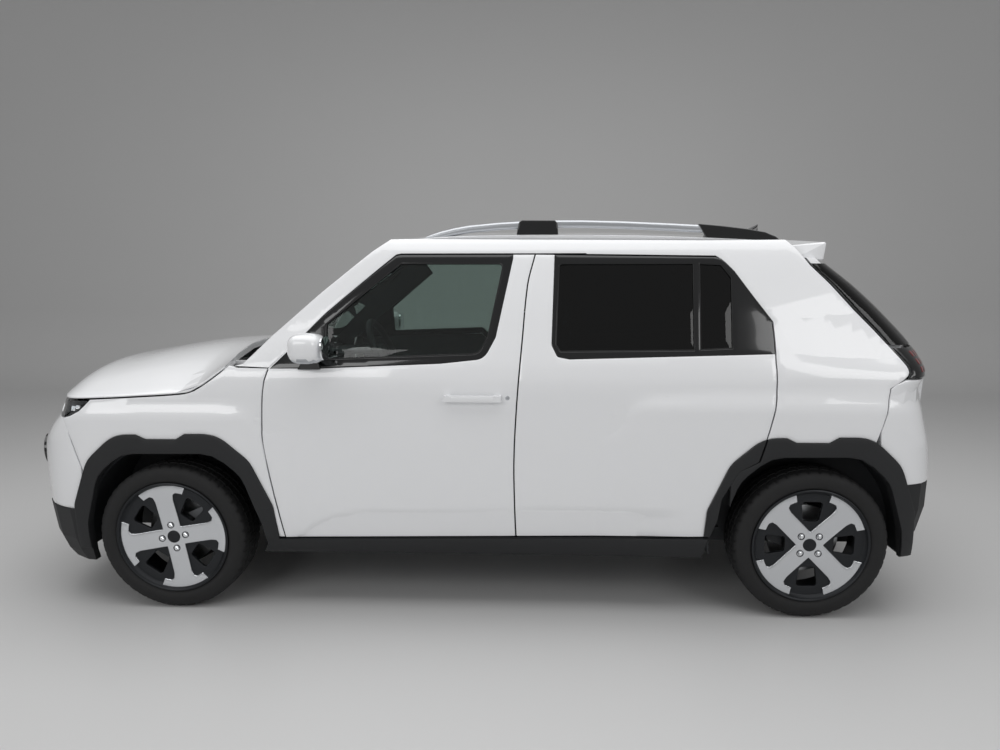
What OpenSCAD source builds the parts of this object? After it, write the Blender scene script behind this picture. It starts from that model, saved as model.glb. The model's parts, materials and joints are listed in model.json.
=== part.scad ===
// Five-door electric city car, millimetres.
// X points forward, Y to the car's left, Z up. The origin is on the ground,
// under the middle of the car's outline.

/* [Overall] */
// Distance between the front and the rear axle
wheelbase = 2580; // [2500:10:2660]
// Front bumper ahead of the front axle
front_overhang = 698; // [690:2:720]
// Rear bumper behind the rear axle
rear_overhang = 547; // [540:2:570]
// Width over the arch claddings
body_w = 1610; // [1590:2:1640]
// Highest point of the roof panel above the ground
roof_h = 1541; // [1525:1:1560]
// Distance between the wheel centre planes of one axle
track = 1380; // [1370:2:1396]

/* [Panels] */
// Thickness of the outer sheet flange round a door
flange_t = 24; // [20:1:28]
// Thickness of a whole door below the belt line
door_t = 92; // [80:2:100]
// Thickness of fenders, bumpers and hood skins
skin_t = 22; // [18:1:26]
// Thickness of window glass
glass_t = 6; // [4:0.5:8]
// Width of the gaps between panels
shut_gap = 8; // [7:0.5:9]
// Depth of the glass behind the door skin
glass_inset = 6; // [4:1:10]
// How far the arch and sill claddings stand proud of the skin
cladding_proud = 12; // [8:1:14]

/* [Wheels] */
// Outer diameter of the tyres
tyre_d = 610; // [600:2:620]
// Width of the tyres
tyre_w = 205; // [195:1:215]
// Diameter over the rim flanges
rim_d = 470; // [460:2:480]
// Width across a spoke of the wheel
spoke_w = 78; // [70:1:90]
// Pitch circle diameter of the wheel nuts
nut_pcd = 100; // [96:1:108]
// Diameter of the front brake discs
disc_d = 280; // [250:2:300]
// Turn of the front wheel on its hub as it stands
front_wheel_turn = 10; // [-45:1:45]
// Turn of the rear wheel on its hub as it stands
rear_wheel_turn = 45; // [-45:1:45]

/* [Cabin] */
// Height of the cabin floor above the ground
floor_z = 330; // [320:2:345]
// Height of the front seat cushions above the ground
seat_z = 610; // [590:2:630]
// Distance of a front seat's middle from the car's middle
seat_y = 330; // [310:2:350]
// Thickness of the battery under the floor
battery_t = 120; // [100:2:130]
// Diameter of the steering wheel
steering_d = 360; // [340:2:380]

/* [Hinges] */
// Diameter of the hinge pins
pin_d = 9; // [8:0.5:10]
// Radial running clearance of the hinge pins
pin_fit = 0.05; // [0.04:0.01:0.08]

/* [Hidden] */
$fn = 48;

white_paint = "#f2f3f4";
black_trim = "#232427";
dark_glass = "#20262a";
silver = "#c9ccd0";
rubber = "#1b1b1c";

length = front_overhang + wheelbase + rear_overhang;
xf = length / 2 - front_overhang;
xr = xf - wheelbase;
// Middle pillar, 1400 behind the front axle; a change of the wheelbase is shared between the doors
xm = xf - 1400 - (wheelbase - 2580) / 2;
half_w = body_w / 2;
// Bulge of the skin round the wheel arches
flare_h = 13;
skin_w = half_w - flare_h - cladding_proud;
wheel_z = tyre_d / 2;
eps = 0.01;

// Smooth curve through [input, output] points, level past both ends
function curve(t, v) =
  v <= t[0][0] ? t[0][1] :
  v >= t[len(t) - 1][0] ? t[len(t) - 1][1] :
  let (i = [for (k = [0 : len(t) - 2]) if (v >= t[k][0] && v < t[k + 1][0]) k][0],
       a = t[i], b = t[i + 1], h = b[0] - a[0], s = (v - a[0]) / h, d = (b[1] - a[1]) / h,
       d0 = i > 0 ? (a[1] - t[i - 1][1]) / (a[0] - t[i - 1][0]) : d,
       d1 = i < len(t) - 2 ? (t[i + 2][1] - b[1]) / (t[i + 2][0] - b[0]) : d,
       m0 = d0 * d <= 0 ? 0 : 2 * d0 * d / (d0 + d),
       m1 = d1 * d <= 0 ? 0 : 2 * d1 * d / (d1 + d))
  a[1] * (2 * s * s * s - 3 * s * s + 1) + m0 * h * (s * s * s - 2 * s * s + s)
  + b[1] * (3 * s * s - 2 * s * s * s) + m1 * h * (s * s * s - s * s);
function clamp01(v) = max(0, min(1, v));
function ramp(a, b, v) = let (t = clamp01((v - a) / (b - a))) t * t * (3 - 2 * t);
function mix(a, b, t) = a + (b - a) * t;

// The body surface. Heights over the belt are drawn for one roof height and lifted to the chosen one
roof_drawn = 1541;
belt = 1000;
function lift(z) = z <= belt ? z : belt + (z - belt) * (roof_h - belt) / (roof_drawn - belt);
// How far the side skin lies inside its widest line, by height
side_inset = [[170, 70], [240, 44], [320, 22], [430, 11], [600, 4], [800, 0], [900, 0], [960, 3],
              [1000, 9], [1040, 20], [1130, 48], [1230, 79], [1330, 113], [1425, 148],
              [1470, 168], [1500, 192], [1530, 250]];
// Corners in plan: start ahead of the front axle and behind the rear one
nose_start = xf + 285;
nose_len = front_overhang - 285;
nose_pow = 2.6;
tail_start = xr - 195;
tail_len = rear_overhang - 195;
tail_pow = 3.8;
function corner(d, l, p) = d <= 0 ? 1 : d >= l ? 0 : pow(1 - pow(d / l, p), 1 / p);
function plan_k(x) = min(corner(x - nose_start, nose_len, nose_pow),
                         corner(tail_start - x, tail_len, tail_pow));
function flare(x, z) =
  flare_h * (ramp(xf - 430, xf - 230, x) * (1 - ramp(800, 870, z))
             + (1 - ramp(xr + 600, xr + 780, x)) * (1 - ramp(845, 915, z)));
function upper_taper(x, z) =
  ramp(960, 1130, z) * (24 * pow(clamp01((x - xf + 900) / 560), 2) + 46 * pow(clamp01((xr + 440 - x) / 700), 2));
function side_y(x, z) = (skin_w - curve(side_inset, z) + flare(x, z)) * plan_k(x) - upper_taper(x, z);

// Roof, hood and screens
roof_line = [[xf - 885, -36], [xf - 1000, -16], [xf - 1215, -3], [xf - 1500, 0], [xr + 765, -2],
             [xr + 465, -11], [xr + 165, -26], [xr + 60, -34], [xr - 30, -42]];
function roof_c(x) = roof_drawn + curve([for (k = [len(roof_line) - 1 : -1 : 0]) roof_line[k]], x);
roof_edge_y = 560;
function roof_z(x, y) = roof_c(x) - 26 * pow(abs(y) / roof_edge_y, 2.4);
hood_side = [[xf - 281, 1021], [xf - 237, 985], [xf - 155, 930], [xf - 109, 909], [xf + 105, 893],
             [xf + 234, 886], [xf + 500, 876]];
hood_mid = [[xf - 281, 1062], [xf - 20, 1051], [xf + 150, 1033], [xf + 310, 1006], [xf + 430, 985],
            [xf + 490, 952], [xf + 515, 926], [xf + 531, 879]];
function hood_z(x, u) = mix(curve(hood_side, x), curve(hood_mid, x), 1 - pow(abs(u), 2.7));
// Screens: middle line as [height, x], swept back towards the sides
screen_mid = [[1000, xf - 245], [1200, xf - 462], [1350, xf - 635], [1450, xf - 765], [1505, xf - 875]];
function screen_x(y, z) = curve(screen_mid, z) - 78 * pow(abs(y) / 600, 2);
// Rear end: distance of the middle line inside the rearmost point, by height
tail_inset = [[170, 120], [274, 68], [340, 30], [448, 2], [520, 0], [575, 6], [701, 22], [824, 50], [906, 62],
              [960, 66], [996, 72], [1072, 93], [1195, 196], [1317, 332], [1418, 471], [1494, 580]];
// Line on the body side where the rear end starts, behind the rear axle
tail_side = [[900, 195], [940, 240], [975, 312], [996, 325], [1084, 264], [1223, 134], [1324, 42],
             [1396, -33], [1450, -75], [1494, -122]];
tail_shape = [[700, 3.8], [824, 3.4], [906, 3], [960, 2.8]];
nose_inset = [[150, 140], [184, 75], [225, 35], [285, 12], [353, 4], [480, 0], [600, 4], [660, 10], [701, 26],
              [736, 52], [771, 88], [793, 118], [830, 140], [872, 162], [900, 190]];
function nose_pt(t, z, o) =
  let (w = side_y(nose_start, z) - o, l = nose_len - curve(nose_inset, z) - o)
  [nose_start + l * pow(cos(t), 2 / nose_pow), sign(t) * w * pow(abs(sin(t)), 2 / nose_pow), z];
function apron_pt(t, z, ow, ol) =
  let (w = side_y(nose_start, z) - ow, l = nose_len - curve(nose_inset, z) - ol)
  [nose_start + l * pow(cos(t), 2 / nose_pow), sign(t) * w * pow(abs(sin(t)), 2 / nose_pow), z];
function tail_pt(t, z, o) =
  let (x0 = xr - curve(tail_side, z), w = side_y(x0, z) - o, p = curve(tail_shape, z),
       l = length / 2 + x0 - curve(tail_inset, z) - o)
  [x0 - l * pow(cos(t), 2 / p), sign(t) * w * pow(abs(sin(t)), 2 / p), z];

// Closed solid between two grids of points, outer and inner
module slab(outer, inner) {
  n = len(outer);
  m = len(outer[0]);
  function id(i, j, s) = s * n * m + i * m + j;
  function quad(a, b, c, d) = [[a, b, c], [a, c, d]];
  faces = concat(
    [for (i = [0 : n - 2], j = [0 : m - 2])
      each quad(id(i, j, 0), id(i + 1, j, 0), id(i + 1, j + 1, 0), id(i, j + 1, 0))],
    [for (i = [0 : n - 2], j = [0 : m - 2])
      each quad(id(i, j, 1), id(i, j + 1, 1), id(i + 1, j + 1, 1), id(i + 1, j, 1))],
    [for (i = [0 : n - 2]) each quad(id(i, 0, 1), id(i + 1, 0, 1), id(i + 1, 0, 0), id(i, 0, 0))],
    [for (i = [0 : n - 2]) each quad(id(i, m - 1, 0), id(i + 1, m - 1, 0), id(i + 1, m - 1, 1), id(i, m - 1, 1))],
    [for (j = [0 : m - 2]) each quad(id(0, j, 0), id(0, j + 1, 0), id(0, j + 1, 1), id(0, j, 1))],
    [for (j = [0 : m - 2]) each quad(id(n - 1, j, 1), id(n - 1, j + 1, 1), id(n - 1, j + 1, 0), id(n - 1, j, 0))]);
  polyhedron([for (g = [outer, inner], r = g, p = r) [p[0], p[1], lift(p[2])]], faces, convexity = 10);
}
// Left side skin between two depths under the surface
module side_slab(xs, zs, d0, d1) {
  slab([for (x = xs) [for (z = zs) [x, side_y(x, z) - d0, z]]],
       [for (x = xs) [for (z = zs) [x, side_y(x, z) - d1, z]]]);
}
// A side view outline, extruded across the car from y0 to y1
module side_cut(pts, y0 = 300, y1 = 900) {
  translate([0, y1, 0]) rotate([90, 0, 0]) linear_extrude(y1 - y0) polygon([for (p = pts) [p[0], lift(p[1])]]);
}
// An outline seen from behind, extruded along the tail
module end_cut(pts) {
  translate([xr - 700, 0, 0]) rotate([90, 0, 90]) linear_extrude(900) polygon([for (p = pts) [p[0], lift(p[1])]]);
}
// A plan outline, extruded upwards
module plan_cut(pts, z0, z1) { translate([0, 0, z0]) linear_extrude(z1 - z0) polygon(pts); }
// Outline with its corners rounded: points are [x, y, radius]
function rounded(p, n = 4) =
  [for (i = [0 : len(p) - 1])
    let (b = [p[i][0], p[i][1]], r = p[i][2],
         a = [p[(i + len(p) - 1) % len(p)][0], p[(i + len(p) - 1) % len(p)][1]],
         c = [p[(i + 1) % len(p)][0], p[(i + 1) % len(p)][1]])
    each r <= 0 ? [b] :
      let (u = (a - b) / norm(a - b), v = (c - b) / norm(c - b),
           h = acos(max(-1, min(1, u * v))) / 2, d = r / tan(h),
           m = b + (u + v) / norm(u + v) * r / sin(h), p0 = b + u * d,
           a0 = atan2(p0[1] - m[1], p0[0] - m[0]), p1 = b + v * d,
           a1 = atan2(p1[1] - m[1], p1[0] - m[0]),
           da = a1 - a0 > 180 ? a1 - a0 - 360 : a1 - a0 < -180 ? a1 - a0 + 360 : a1 - a0)
      [for (k = [0 : n]) m + r * [cos(a0 + da * k / n), sin(a0 + da * k / n)]]];
module mirrored(side) {
  if (side < 0) mirror([0, 1, 0]) children();
  else children();
}
function steps(a, b, n) = [for (k = [0 : n]) a + (b - a) * k / n];

// Shut lines in side view, as curves of x by height
front_shut = [[308, xf - 463], [430, xf - 442], [553, xf - 421], [735, xf - 400], [866, xf - 407],
              [956, xf - 421], [1001, xf - 437]];
mid_shut = [[308, xm - 9], [420, xm - 5], [619, xm - 1], [766, xm - 6], [961, xm - 19],
            [1100, xm - 31], [1318, xm - 50], [1440, xm - 80]];
rear_shut = [[600, xr + 240], [739, xr + 202], [829, xr + 182], [896, xr + 173], [967, xr + 173], [1062, xr + 180]];
frame_top = 1440;
door_low = 306;
function low_z(x) = door_low + 0.018 * (xf - 463 - x);
// Wheel openings and the outer edges of the claddings round them
function arch(cx, half, top, k, notch) = rounded(concat(
  [[cx + half + 4, 150, 0], [cx + half - 14, top - 300, 80], [cx + half - k, top - k - 15, 130],
   [cx + half - 2 * k - 25, top - 4, 140]],
  notch == 0 ? [] : [[cx + 118, top - 4, 0], [cx + 80, top - notch, 0], [cx - 43, top - notch, 0], [cx - 80, top, 0]],
  [[cx - half + 2 * k + 25, top, 140], [cx - half + k, top - k - 15, 130],
   [cx - half + 14, top - 300, 80], [cx - half - 20, 150, 0]]), 2);
clad_notch = 22;
front_arch = arch(xf - 14, 374, 664, 80, 0);
rear_arch = arch(xr + 8, 370, 672, 85, 0);
front_clad = arch(xf - 13, 424, 742, 95, clad_notch);
rear_clad = arch(xr + 9, 420, 748, 95, clad_notch);

zs_side = [290, 430, 600, 760, 870, 940, 990, 1040, 1230, 1450];

// Front door
function front_door_outline(g) = concat(
  [[curve(mid_shut, door_low) + g, low_z(xm - 9)], [curve(front_shut, door_low) - g, door_low]],
  [for (z = [430, 553, 660, 735, 810, 866, 920, 956]) [curve(front_shut, z) - g, z]],
  [[curve(front_shut, 1001) - g, 1001], [xf - 573, 1131], [xf - 654, 1208 - g], [xf - 930, 1436 - g], [xf - 950, frame_top - g]],
  [for (z = [frame_top - g, 1380, 1318, 1210, 1100, 961, 860, 766, 619, 500, 420]) [curve(mid_shut, z) + g, z]]);
// Dark window surround of the front door, and the glass inside it
front_surround = rounded([[xf - 440, 1001, 0], [xf - 573, 1131, 0], [xf - 654, 1208, 0], [xf - 932, frame_top + 20, 0],
  [xm + 7, frame_top + 20, 0], [xm + 7, 1422, 0], [xm + 35, 1290, 0], [xm + 71, 1122, 0],
  [xm + 115, 1040, 60], [xf - 1114, 1022, 0], [xf - 638, 1002, 0]], 4);
front_pane = rounded([[xf - 660, 1036, 8], [xf - 660, 1172, 8], [xf - 948, 1405, 14],
  [xm + 42, 1405, 18], [xm + 65, 1290, 0], [xm + 99, 1128, 0], [xm + 132, 1058, 50]], 4);

hinge_x = xf - 480;
hinge_y = half_w - 45;
hinge_z = [470, 850];
hinge_h = 36;

// Space that a hinge arm sweeps inside the door
module hinge_pocket(x) {
  for (z = hinge_z)
    translate([x, hinge_y, z - hinge_h / 2]) {
      cylinder(r = pin_d / 2 + 5, h = hinge_h);
      linear_extrude(hinge_h) polygon([[-14, 5], [36, 5], [150, -40], [150, -160], [-14, -160]]);
    }
}
// Bores through the door for its hinge pins
module hinge_bores(x) {
  for (z = hinge_z)
    translate([x, hinge_y, z - hinge_h / 2 - 40]) cylinder(r = pin_d / 2 + pin_fit, h = hinge_h + 80);
}
// Pin and arm on the body side of a hinge
module hinge_arm(x) {
  for (z = hinge_z)
    translate([x, hinge_y, z]) {
      translate([0, 0, -hinge_h / 2 - 30]) cylinder(r = pin_d / 2, h = hinge_h + 60);
      translate([0, 0, -hinge_h / 2 + 3]) linear_extrude(hinge_h - 6) {
        circle(r = pin_d / 2 + 3);
        translate([-6, -92]) square([12, 92]);
        translate([-6, -100]) square([94, 16]);
      }
    }
}

// Strap handle of the front door, standing off the skin on two feet
module door_handle() {
  z = [878, 902];
  side_slab([xm + 48, xm + 160, xm + 272], z, -26, -13);
  for (x = [xm + 48, xm + 245]) side_slab([x, x + 27], z, -14, 2);
}
module front_door(side) {
  color(white_paint) mirrored(side) difference() {
    union() {
      door_handle();
      difference() {
        intersection() {
          side_slab(steps(xm - 120, xf - 380, 6), zs_side, 0, flange_t);
          side_cut(front_door_outline(shut_gap / 2));
        }
        side_cut(front_surround);
      }
      intersection() {
        side_slab(steps(xm, xf - 470, 3), [330, 600, 860, 1000], flange_t - 6, door_t);
        side_cut(rounded([[xm + 22, 335, 20], [xf - 492, 335, 20], [xf - 492, 998, 0], [xm + 15, 998, 0]], 3));
      }
    }
    hinge_pocket(hinge_x);
    hinge_bores(hinge_x);
  }
}

module front_door_frame(side) {
  color(black_trim) mirrored(side) difference() {
    intersection() {
      side_slab(steps(xm - 10, xf - 430, 5), [985, 1040, 1130, 1230, 1330, 1450], 1, flange_t);
      side_cut(front_door_outline(shut_gap / 2));
      side_cut(front_surround);
    }
    side_cut(front_pane);
  }
}

module front_door_glass(side) {
  color(dark_glass) mirrored(side) intersection() {
    side_slab(steps(xm - 10, xf - 430, 5), [1000, 1130, 1230, 1330, 1450], glass_inset, glass_inset + glass_t);
    side_cut(front_pane);
  }
}

// Rear door
function rear_door_outline(g) = concat(
  [[xr + 396 + g, low_z(xr + 396)], [curve(mid_shut, door_low) - g, low_z(xm - 9)]],
  [for (z = [420, 500, 619, 766, 860, 961, 1100, 1210, 1318, 1380, frame_top - g]) [curve(mid_shut, z) - g, z]],
  [[xr + 400, frame_top - g - 10], [xr + 361, 1406], [xr + 329, 1374], [xr + 187 + g, 1183], [xr + 178 + g, 1062]],
  [for (z = [967, 896, 829, 739]) [curve(rear_shut, z) + g, z]],
  [[xr + 226 + g, 650], [xr + 300, 610], [xr + 362, 500], [xr + 376, 400]]);
rear_surround = rounded([[xm - 156, frame_top + 20, 0], [xm - 145, 1094, 0], [xm - 163, 1050, 0],
  [xm - 216, 1040, 0], [xr + 326, 1058, 0], [xr + 150, 1063, 0], [xr + 150, 1460, 0]], 2);
rear_pane = rounded([[xm - 172, 1404, 14], [xm - 162, 1094, 8], [xm - 178, 1068, 8], [xr + 484, 1074, 4],
  [xr + 484, 1404, 4]], 3);
rear_fixed_pane = rounded([[xr + 464, 1404, 4], [xr + 464, 1076, 4], [xr + 338, 1082, 4], [xr + 338, 1350, 8],
  [xr + 378, 1400, 10]], 3);
rear_hinge_x = xm - 78;

module rear_door(side) {
  color(white_paint) mirrored(side) difference() {
    union() {
      difference() {
        intersection() {
          side_slab(steps(xr + 170, xm + 10, 6), zs_side, 0, flange_t);
          side_cut(rear_door_outline(shut_gap / 2));
        }
        side_cut(rear_surround);
        side_cut(rear_clad);
      }
      intersection() {
        side_slab(steps(xr + 200, xm - 80, 3), [330, 600, 860, 1040], flange_t - 6, door_t);
        side_cut(rounded([[xm - 90, 1036, 0], [xm - 90, 340, 20], [xr + 492, 340, 20], [xr + 470, 512, 60],
          [xr + 346, 704, 60], [xr + 236, 798, 40], [xr + 212, 900, 0], [xr + 212, 1036, 0]], 3));
      }
    }
    hinge_pocket(rear_hinge_x);
    hinge_bores(rear_hinge_x);
  }
}

module rear_door_frame(side) {
  color(black_trim) mirrored(side) {
    difference() {
      intersection() {
        side_slab(steps(xr + 160, xm - 140, 5), [1030, 1130, 1230, 1330, 1450], 1, flange_t);
        side_cut(rear_door_outline(shut_gap / 2));
        side_cut(rear_surround);
      }
      side_cut(rear_pane);
      side_cut(rear_fixed_pane);
    }
    difference() {
      intersection() {
        side_slab(steps(xr + 190, xr + 460, 3), [290, 430, 600, 760], -cladding_proud, flange_t - 10);
        side_cut(rear_door_outline(shut_gap / 2));
        side_cut(rear_clad);
      }
      side_cut(rear_arch);
    }
  }
}

module rear_door_glass(side) {
  color(dark_glass) mirrored(side) intersection() {
    side_slab(steps(xr + 160, xm - 140, 5), [1030, 1130, 1230, 1330, 1450], glass_inset, glass_inset + glass_t);
    union() {
      side_cut(rear_pane);
      side_cut(rear_fixed_pane);
    }
  }
}

// Body side: outer skin behind and above the doors, and the frame round the door openings
a_pillar = [[xf - 300, 1010], [xf - 334, 1018], [xf - 446, 1126], [xf - 637, 1292], [xf - 833, 1450], [xf - 905, 1498]];
roof_joint_z = 1500;
sill_z = 239;
module body_side(side) {
  g = shut_gap / 2;
  color(white_paint) mirrored(side) difference() {
   union() {
    difference() {
      intersection() {
        side_slab(concat(steps(xr - 330, xr + 200, 5), steps(xr + 500, xf - 900, 3), steps(xf - 740, xf - 300, 3)),
                  [600, 740, 850, 920, 990, 1040, 1230, 1400, 1450, 1480, roof_joint_z], 0, flange_t + 10);
        side_cut(concat([[xf - 437 + 4, 1005]], a_pillar,
          [[xf - 960, roof_joint_z], [xr + 450, roof_joint_z - 8]],
          [for (z = [1494, 1450, 1396, 1324, 1270, 1223, 1150, 1084, 1040, 1010, 996, 968]) [xr - curve(tail_side, z) + 2, z]],
          [[xr - 254 + g, 935], [xr - 244 + g, 843], [xr - 216 + g, 736], [xr - 180, 640], [xr + 230, 640]]));
      }
      side_cut(front_door_outline(-g));
      side_cut(rear_door_outline(-g));
      side_cut([[xf - 437, 900], [xf - 437, 1001 + 4], [xm - 100, frame_top + g], [xr + 900, frame_top + g],
        [xr + 900, 900]]);
      side_cut(rear_clad);
    }
    // Frame behind the door flanges: pillars, roof side, sill beam and the rail behind the fender
    difference() {
      union() {
        difference() {
          intersection() {
            side_slab(concat(steps(xr - 180, xr + 250, 2), [xr + 700, xf - 950], steps(xf - 840, xf - 330, 2)),
                      [250, 600, 960, 1040, 1230, 1450, 1490], flange_t + 8, door_t + 28);
            side_cut([[xf - 404, 250], [xf - 404, 560], [xf - 345, 640], [xf - 345, 1005], [xf - 460, 1118],
              [xf - 650, 1284], [xf - 845, 1440], [xf - 915, 1486], [xr + 450, 1486], [xr + 130, 1470],
              [xr - 90, 1250], [xr - 160, 1090], [xr - 180, 760], [xr - 180, 706], [xr + 170, 706],
              [xr + 300, 600], [xr + 375, 480], [xr + 412, 250]]);
          }
          side_cut(rounded([[xm + 12, 325, 30], [xf - 440, 325, 30], [xf - 440, 1000, 10], [xf - 640, 1160, 10],
            [xf - 960, 1400, 60], [xm - 40, 1400, 40], [xm + 12, 1000, 0]], 3));
          side_cut(rounded([[xm - 80, 325, 30], [xm - 80, 1000, 0], [xm - 130, 1400, 40], [xr + 400, 1396, 60],
            [xr + 196, 1170, 30], [xr + 196, 900, 20], [xr + 215, 780, 40], [xr + 330, 690, 60], [xr + 446, 520, 60],
            [xr + 478, 325, 30]], 3));
        }
        side_slab(steps(xr + 470, xf - 405, 3), [sill_z, 326], flange_t + 5, 175);
        intersection() {
          side_slab(fender_xs, [744, 800, 850], skin_t + seat_fit, 90);
          translate([xf - 346, 300, 744]) cube([600, 600, 86]);
        }
        // Post behind the pillar between the doors
        side_slab([xm - 80, xm + 10], [310, 600, 960, 1040, 1230], door_t + 8, door_t + 60);
      }
      // Room in which the edges ahead of the hinges swing inwards
      translate([xf - 498, hinge_y - 81, 300]) cube([106, 200, 703]);
      translate([xm - 112, hinge_y - 93, 300]) cube([114, 200, lift(1235) - 300]);
      side_slab([xm - 130, xm - 20], [1220, 1320, 1436], 0, flange_t + 22);
    }
    hinge_arm(hinge_x);
    hinge_arm(rear_hinge_x);
    hood_hinge_arm();
   }
   sill_skin(-60, flange_t + 6 + seat_fit);
   intersection() {
     front_clad_skin(-60, flange_t + seat_fit);
     side_cut([[xf - 500, 200], [xf - 500, 345], [xf - 400, 345], [xf - 400, 200]]);
   }
   translate([xr, -10, 200]) cube([wheelbase, floor_half_w + seat_fit + 10, 200]);
   mirrored(side) {
     roof_skin(seat_fit, 60);
     screen_glass(seat_fit);
   }
  }
}
floor_half_w = half_w - 173;
seat_fit = 0.3;
fender_xs = concat(steps(xf - 430, nose_start, 6), [nose_start + 60, nose_start + 110, nose_start + 150]);
fender_zs = [280, 430, 600, 740, 800, 850, 900, 960, 1020];

// Roof sheet, or with a clearance the space that it fills
roof_t = 34;
roof_w = half_w - 231;
roof_gap = 11;
module roof_skin(c, up) {
  ys = roof_w * [-1, -0.85, -0.6, -0.3, 0, 0.3, 0.6, 0.85, 1];
  xs = steps(xr + 122 + roof_gap, xf - 870, 8);
  slab([for (y = ys) [for (x = xs) [x, y * (1 + 0.02 * up / roof_t + c / roof_w), roof_z(x, y) + up]]],
       [for (y = ys) [for (x = xs) [x, y * (0.98 + c / roof_w), roof_z(x, y) - roof_t - c]]]);
}
module roof_panel() {
  front = [for (y = steps(-roof_w, roof_w, 10)) [curve(screen_mid, 1502) - 78 * pow(abs(y) / 600, 2) - 6, y]];
  rear_x = xr + 122 + roof_gap;
  color(white_paint) {
    intersection() {
      roof_skin(0, 0);
      plan_cut(concat(front, [[rear_x, roof_w], [rear_x, -roof_w]]), belt, 2 * roof_h);
    }
    translate([xr + 155, -300, gate_hinge_z - 66]) cube([45, 600, 60]);
    gate_hinge_arms();
  }
}

module screen_glass(c) {
  zs = [1022, 1140, 1260, 1380, 1450, 1497];
  t = glass_t * 1.4;
  function half(z) = side_y(xf - 320 - (z - 1010) * 1.144, z) - 34 + c;
  slab([for (z = zs) [for (u = steps(-1, 1, 8)) [screen_x(u * half(z), z) + 80 * sign(c), u * half(z), z]]],
       [for (z = zs) [for (u = steps(-1, 1, 8)) [screen_x(u * half(z), z) - t - c, u * half(z), z]]]);
}
module windshield() { color(dark_glass) screen_glass(0); }

// Front end
hood_rear_bow = 70;
rim_t = 8;
module hood() {
  th = [90, 78, 64, 50, 36, 22, 11];
  hl = nose_len - 168;
  xs = concat(steps(xf - 262, nose_start - 60, 5), [for (t = th) nose_start + hl * pow(cos(t), 2 / nose_pow)]);
  us = [-1, -0.95, -0.85, -0.65, -0.35, 0, 0.35, 0.65, 0.85, 0.95, 1];
  function ye(x) = x < nose_start ? side_y(x, curve(hood_side, x) - 4) : side_y(nose_start, 880) * corner(x - nose_start, hl + 0.5, nose_pow);
  function rx(x, u) = x + hood_rear_bow * (1 - u * u) * (1 - ramp(xf - 262, xf + 20, x));
  function thin(x, u) = abs(u) > 0.99 ? rim_t / skin_t : mix(1, rim_t / skin_t, ramp(xf + 430, xf + 522, x));
  function pt(x, u, o) =
    [rx(x, u), u * (ye(x) - o), hood_z(rx(x, u), u) + (abs(u) > 0.99 ? 2 : 0) - o * thin(x, u)];
  color(white_paint) difference() {
    union() {
      slab([for (u = us) [for (x = xs) pt(x, u, 0)]], [for (u = us) [for (x = xs) pt(x, u, skin_t)]]);
      for (s = [-1, 1]) translate([hood_hinge_x - 12, s * hood_hinge_y - 10, hood_hinge_z - 10]) cube([112, 20, 20]);
    }
    for (s = [-1, 1]) translate([hood_hinge_x, s * hood_hinge_y - 40, hood_hinge_z]) rotate([-90, 0, 0])
      cylinder(r = pin_d / 2 + pin_fit, h = 80);
  }
}
hood_hinge_x = xf - 290;
hood_hinge_y = 560;
hood_hinge_z = 1000;
// Arm and pin beside a lug of the hood
module hood_hinge_arm() {
  translate([xf - 362, hood_hinge_y + 16, hood_hinge_z - 15]) cube([81, 12, 24]);
  translate([xf - 362, hood_hinge_y + 16, hood_hinge_z - 15]) cube([14, 100, 24]);
  translate([hood_hinge_x, hood_hinge_y - 20, hood_hinge_z]) rotate([-90, 0, 0]) cylinder(r = pin_d / 2, h = 48);
}

module front_fender(side) {
  g = shut_gap / 2;
  top = [for (x = steps(xf - 281, xf + 286, 8)) [x, curve(hood_side, x) - shut_gap - 4]];
  color(white_paint) mirrored(side) difference() {
    intersection() {
      side_slab(fender_xs, fender_zs, 0, skin_t);
      side_cut(concat([[curve(front_shut, 308) + g, 308]],
        [for (z = [430, 553, 735, 866, 956, 1001]) [curve(front_shut, z) + g, z]], [[xf - 310, 1002]], top,
        [[xf + 331, 828], [xf + 370, 808], [xf + 402, 800], [xf + 370, 700], [xf + 341, 600], [xf + 300, 308]]));
    }
    side_cut(front_clad);
  }
}

nose_ts = [-88, -76, -62, -48, -34, -18, 0, 18, 34, 48, 62, 76, 88];
bumper_t = skin_t + 14;
grille_z = [420, 545];
grille_w = half_w - 305;
lamp_y = half_w - 285;
lamp_z = 617;
lamp_r = 66;
lamp_turn = 16;
panel_z = [796, 864];
// Middle of a round lamp on the bumper skin, its axis turned outwards
module lamp_axis() {
  t = asin(pow(lamp_y / side_y(nose_start, lamp_z), nose_pow / 2));
  translate(nose_pt(t, lamp_z, 0)) rotate([0, 90, lamp_turn]) children();
}
module front_bumper() {
  zs = [grille_z[0], 540, 640, 690, 730, panel_z[0]];
  color(white_paint) difference() {
    slab([for (z = zs) [for (t = nose_ts) nose_pt(t, z, 0)]], [for (z = zs) [for (t = nose_ts) nose_pt(t, z, bumper_t)]]);
    for (s = [-1, 1]) mirrored(s) {
      side_cut([[nose_start - 20, 200], [nose_start - 20, 900], [xf + 408, 900], [xf + 408, 800], [xf + 376, 700],
        [xf + 347, 600], [xf + 347, 200]], 560);
      side_cut(front_clad, 560);
      lamp_axis() translate([0, 0, -200]) cylinder(r = lamp_r, h = 400);
    }
    translate([xf, -grille_w, grille_z[0] - 20]) cube([900, 2 * grille_w, grille_z[1] - grille_z[0] + 20]);
  }
}

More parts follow.
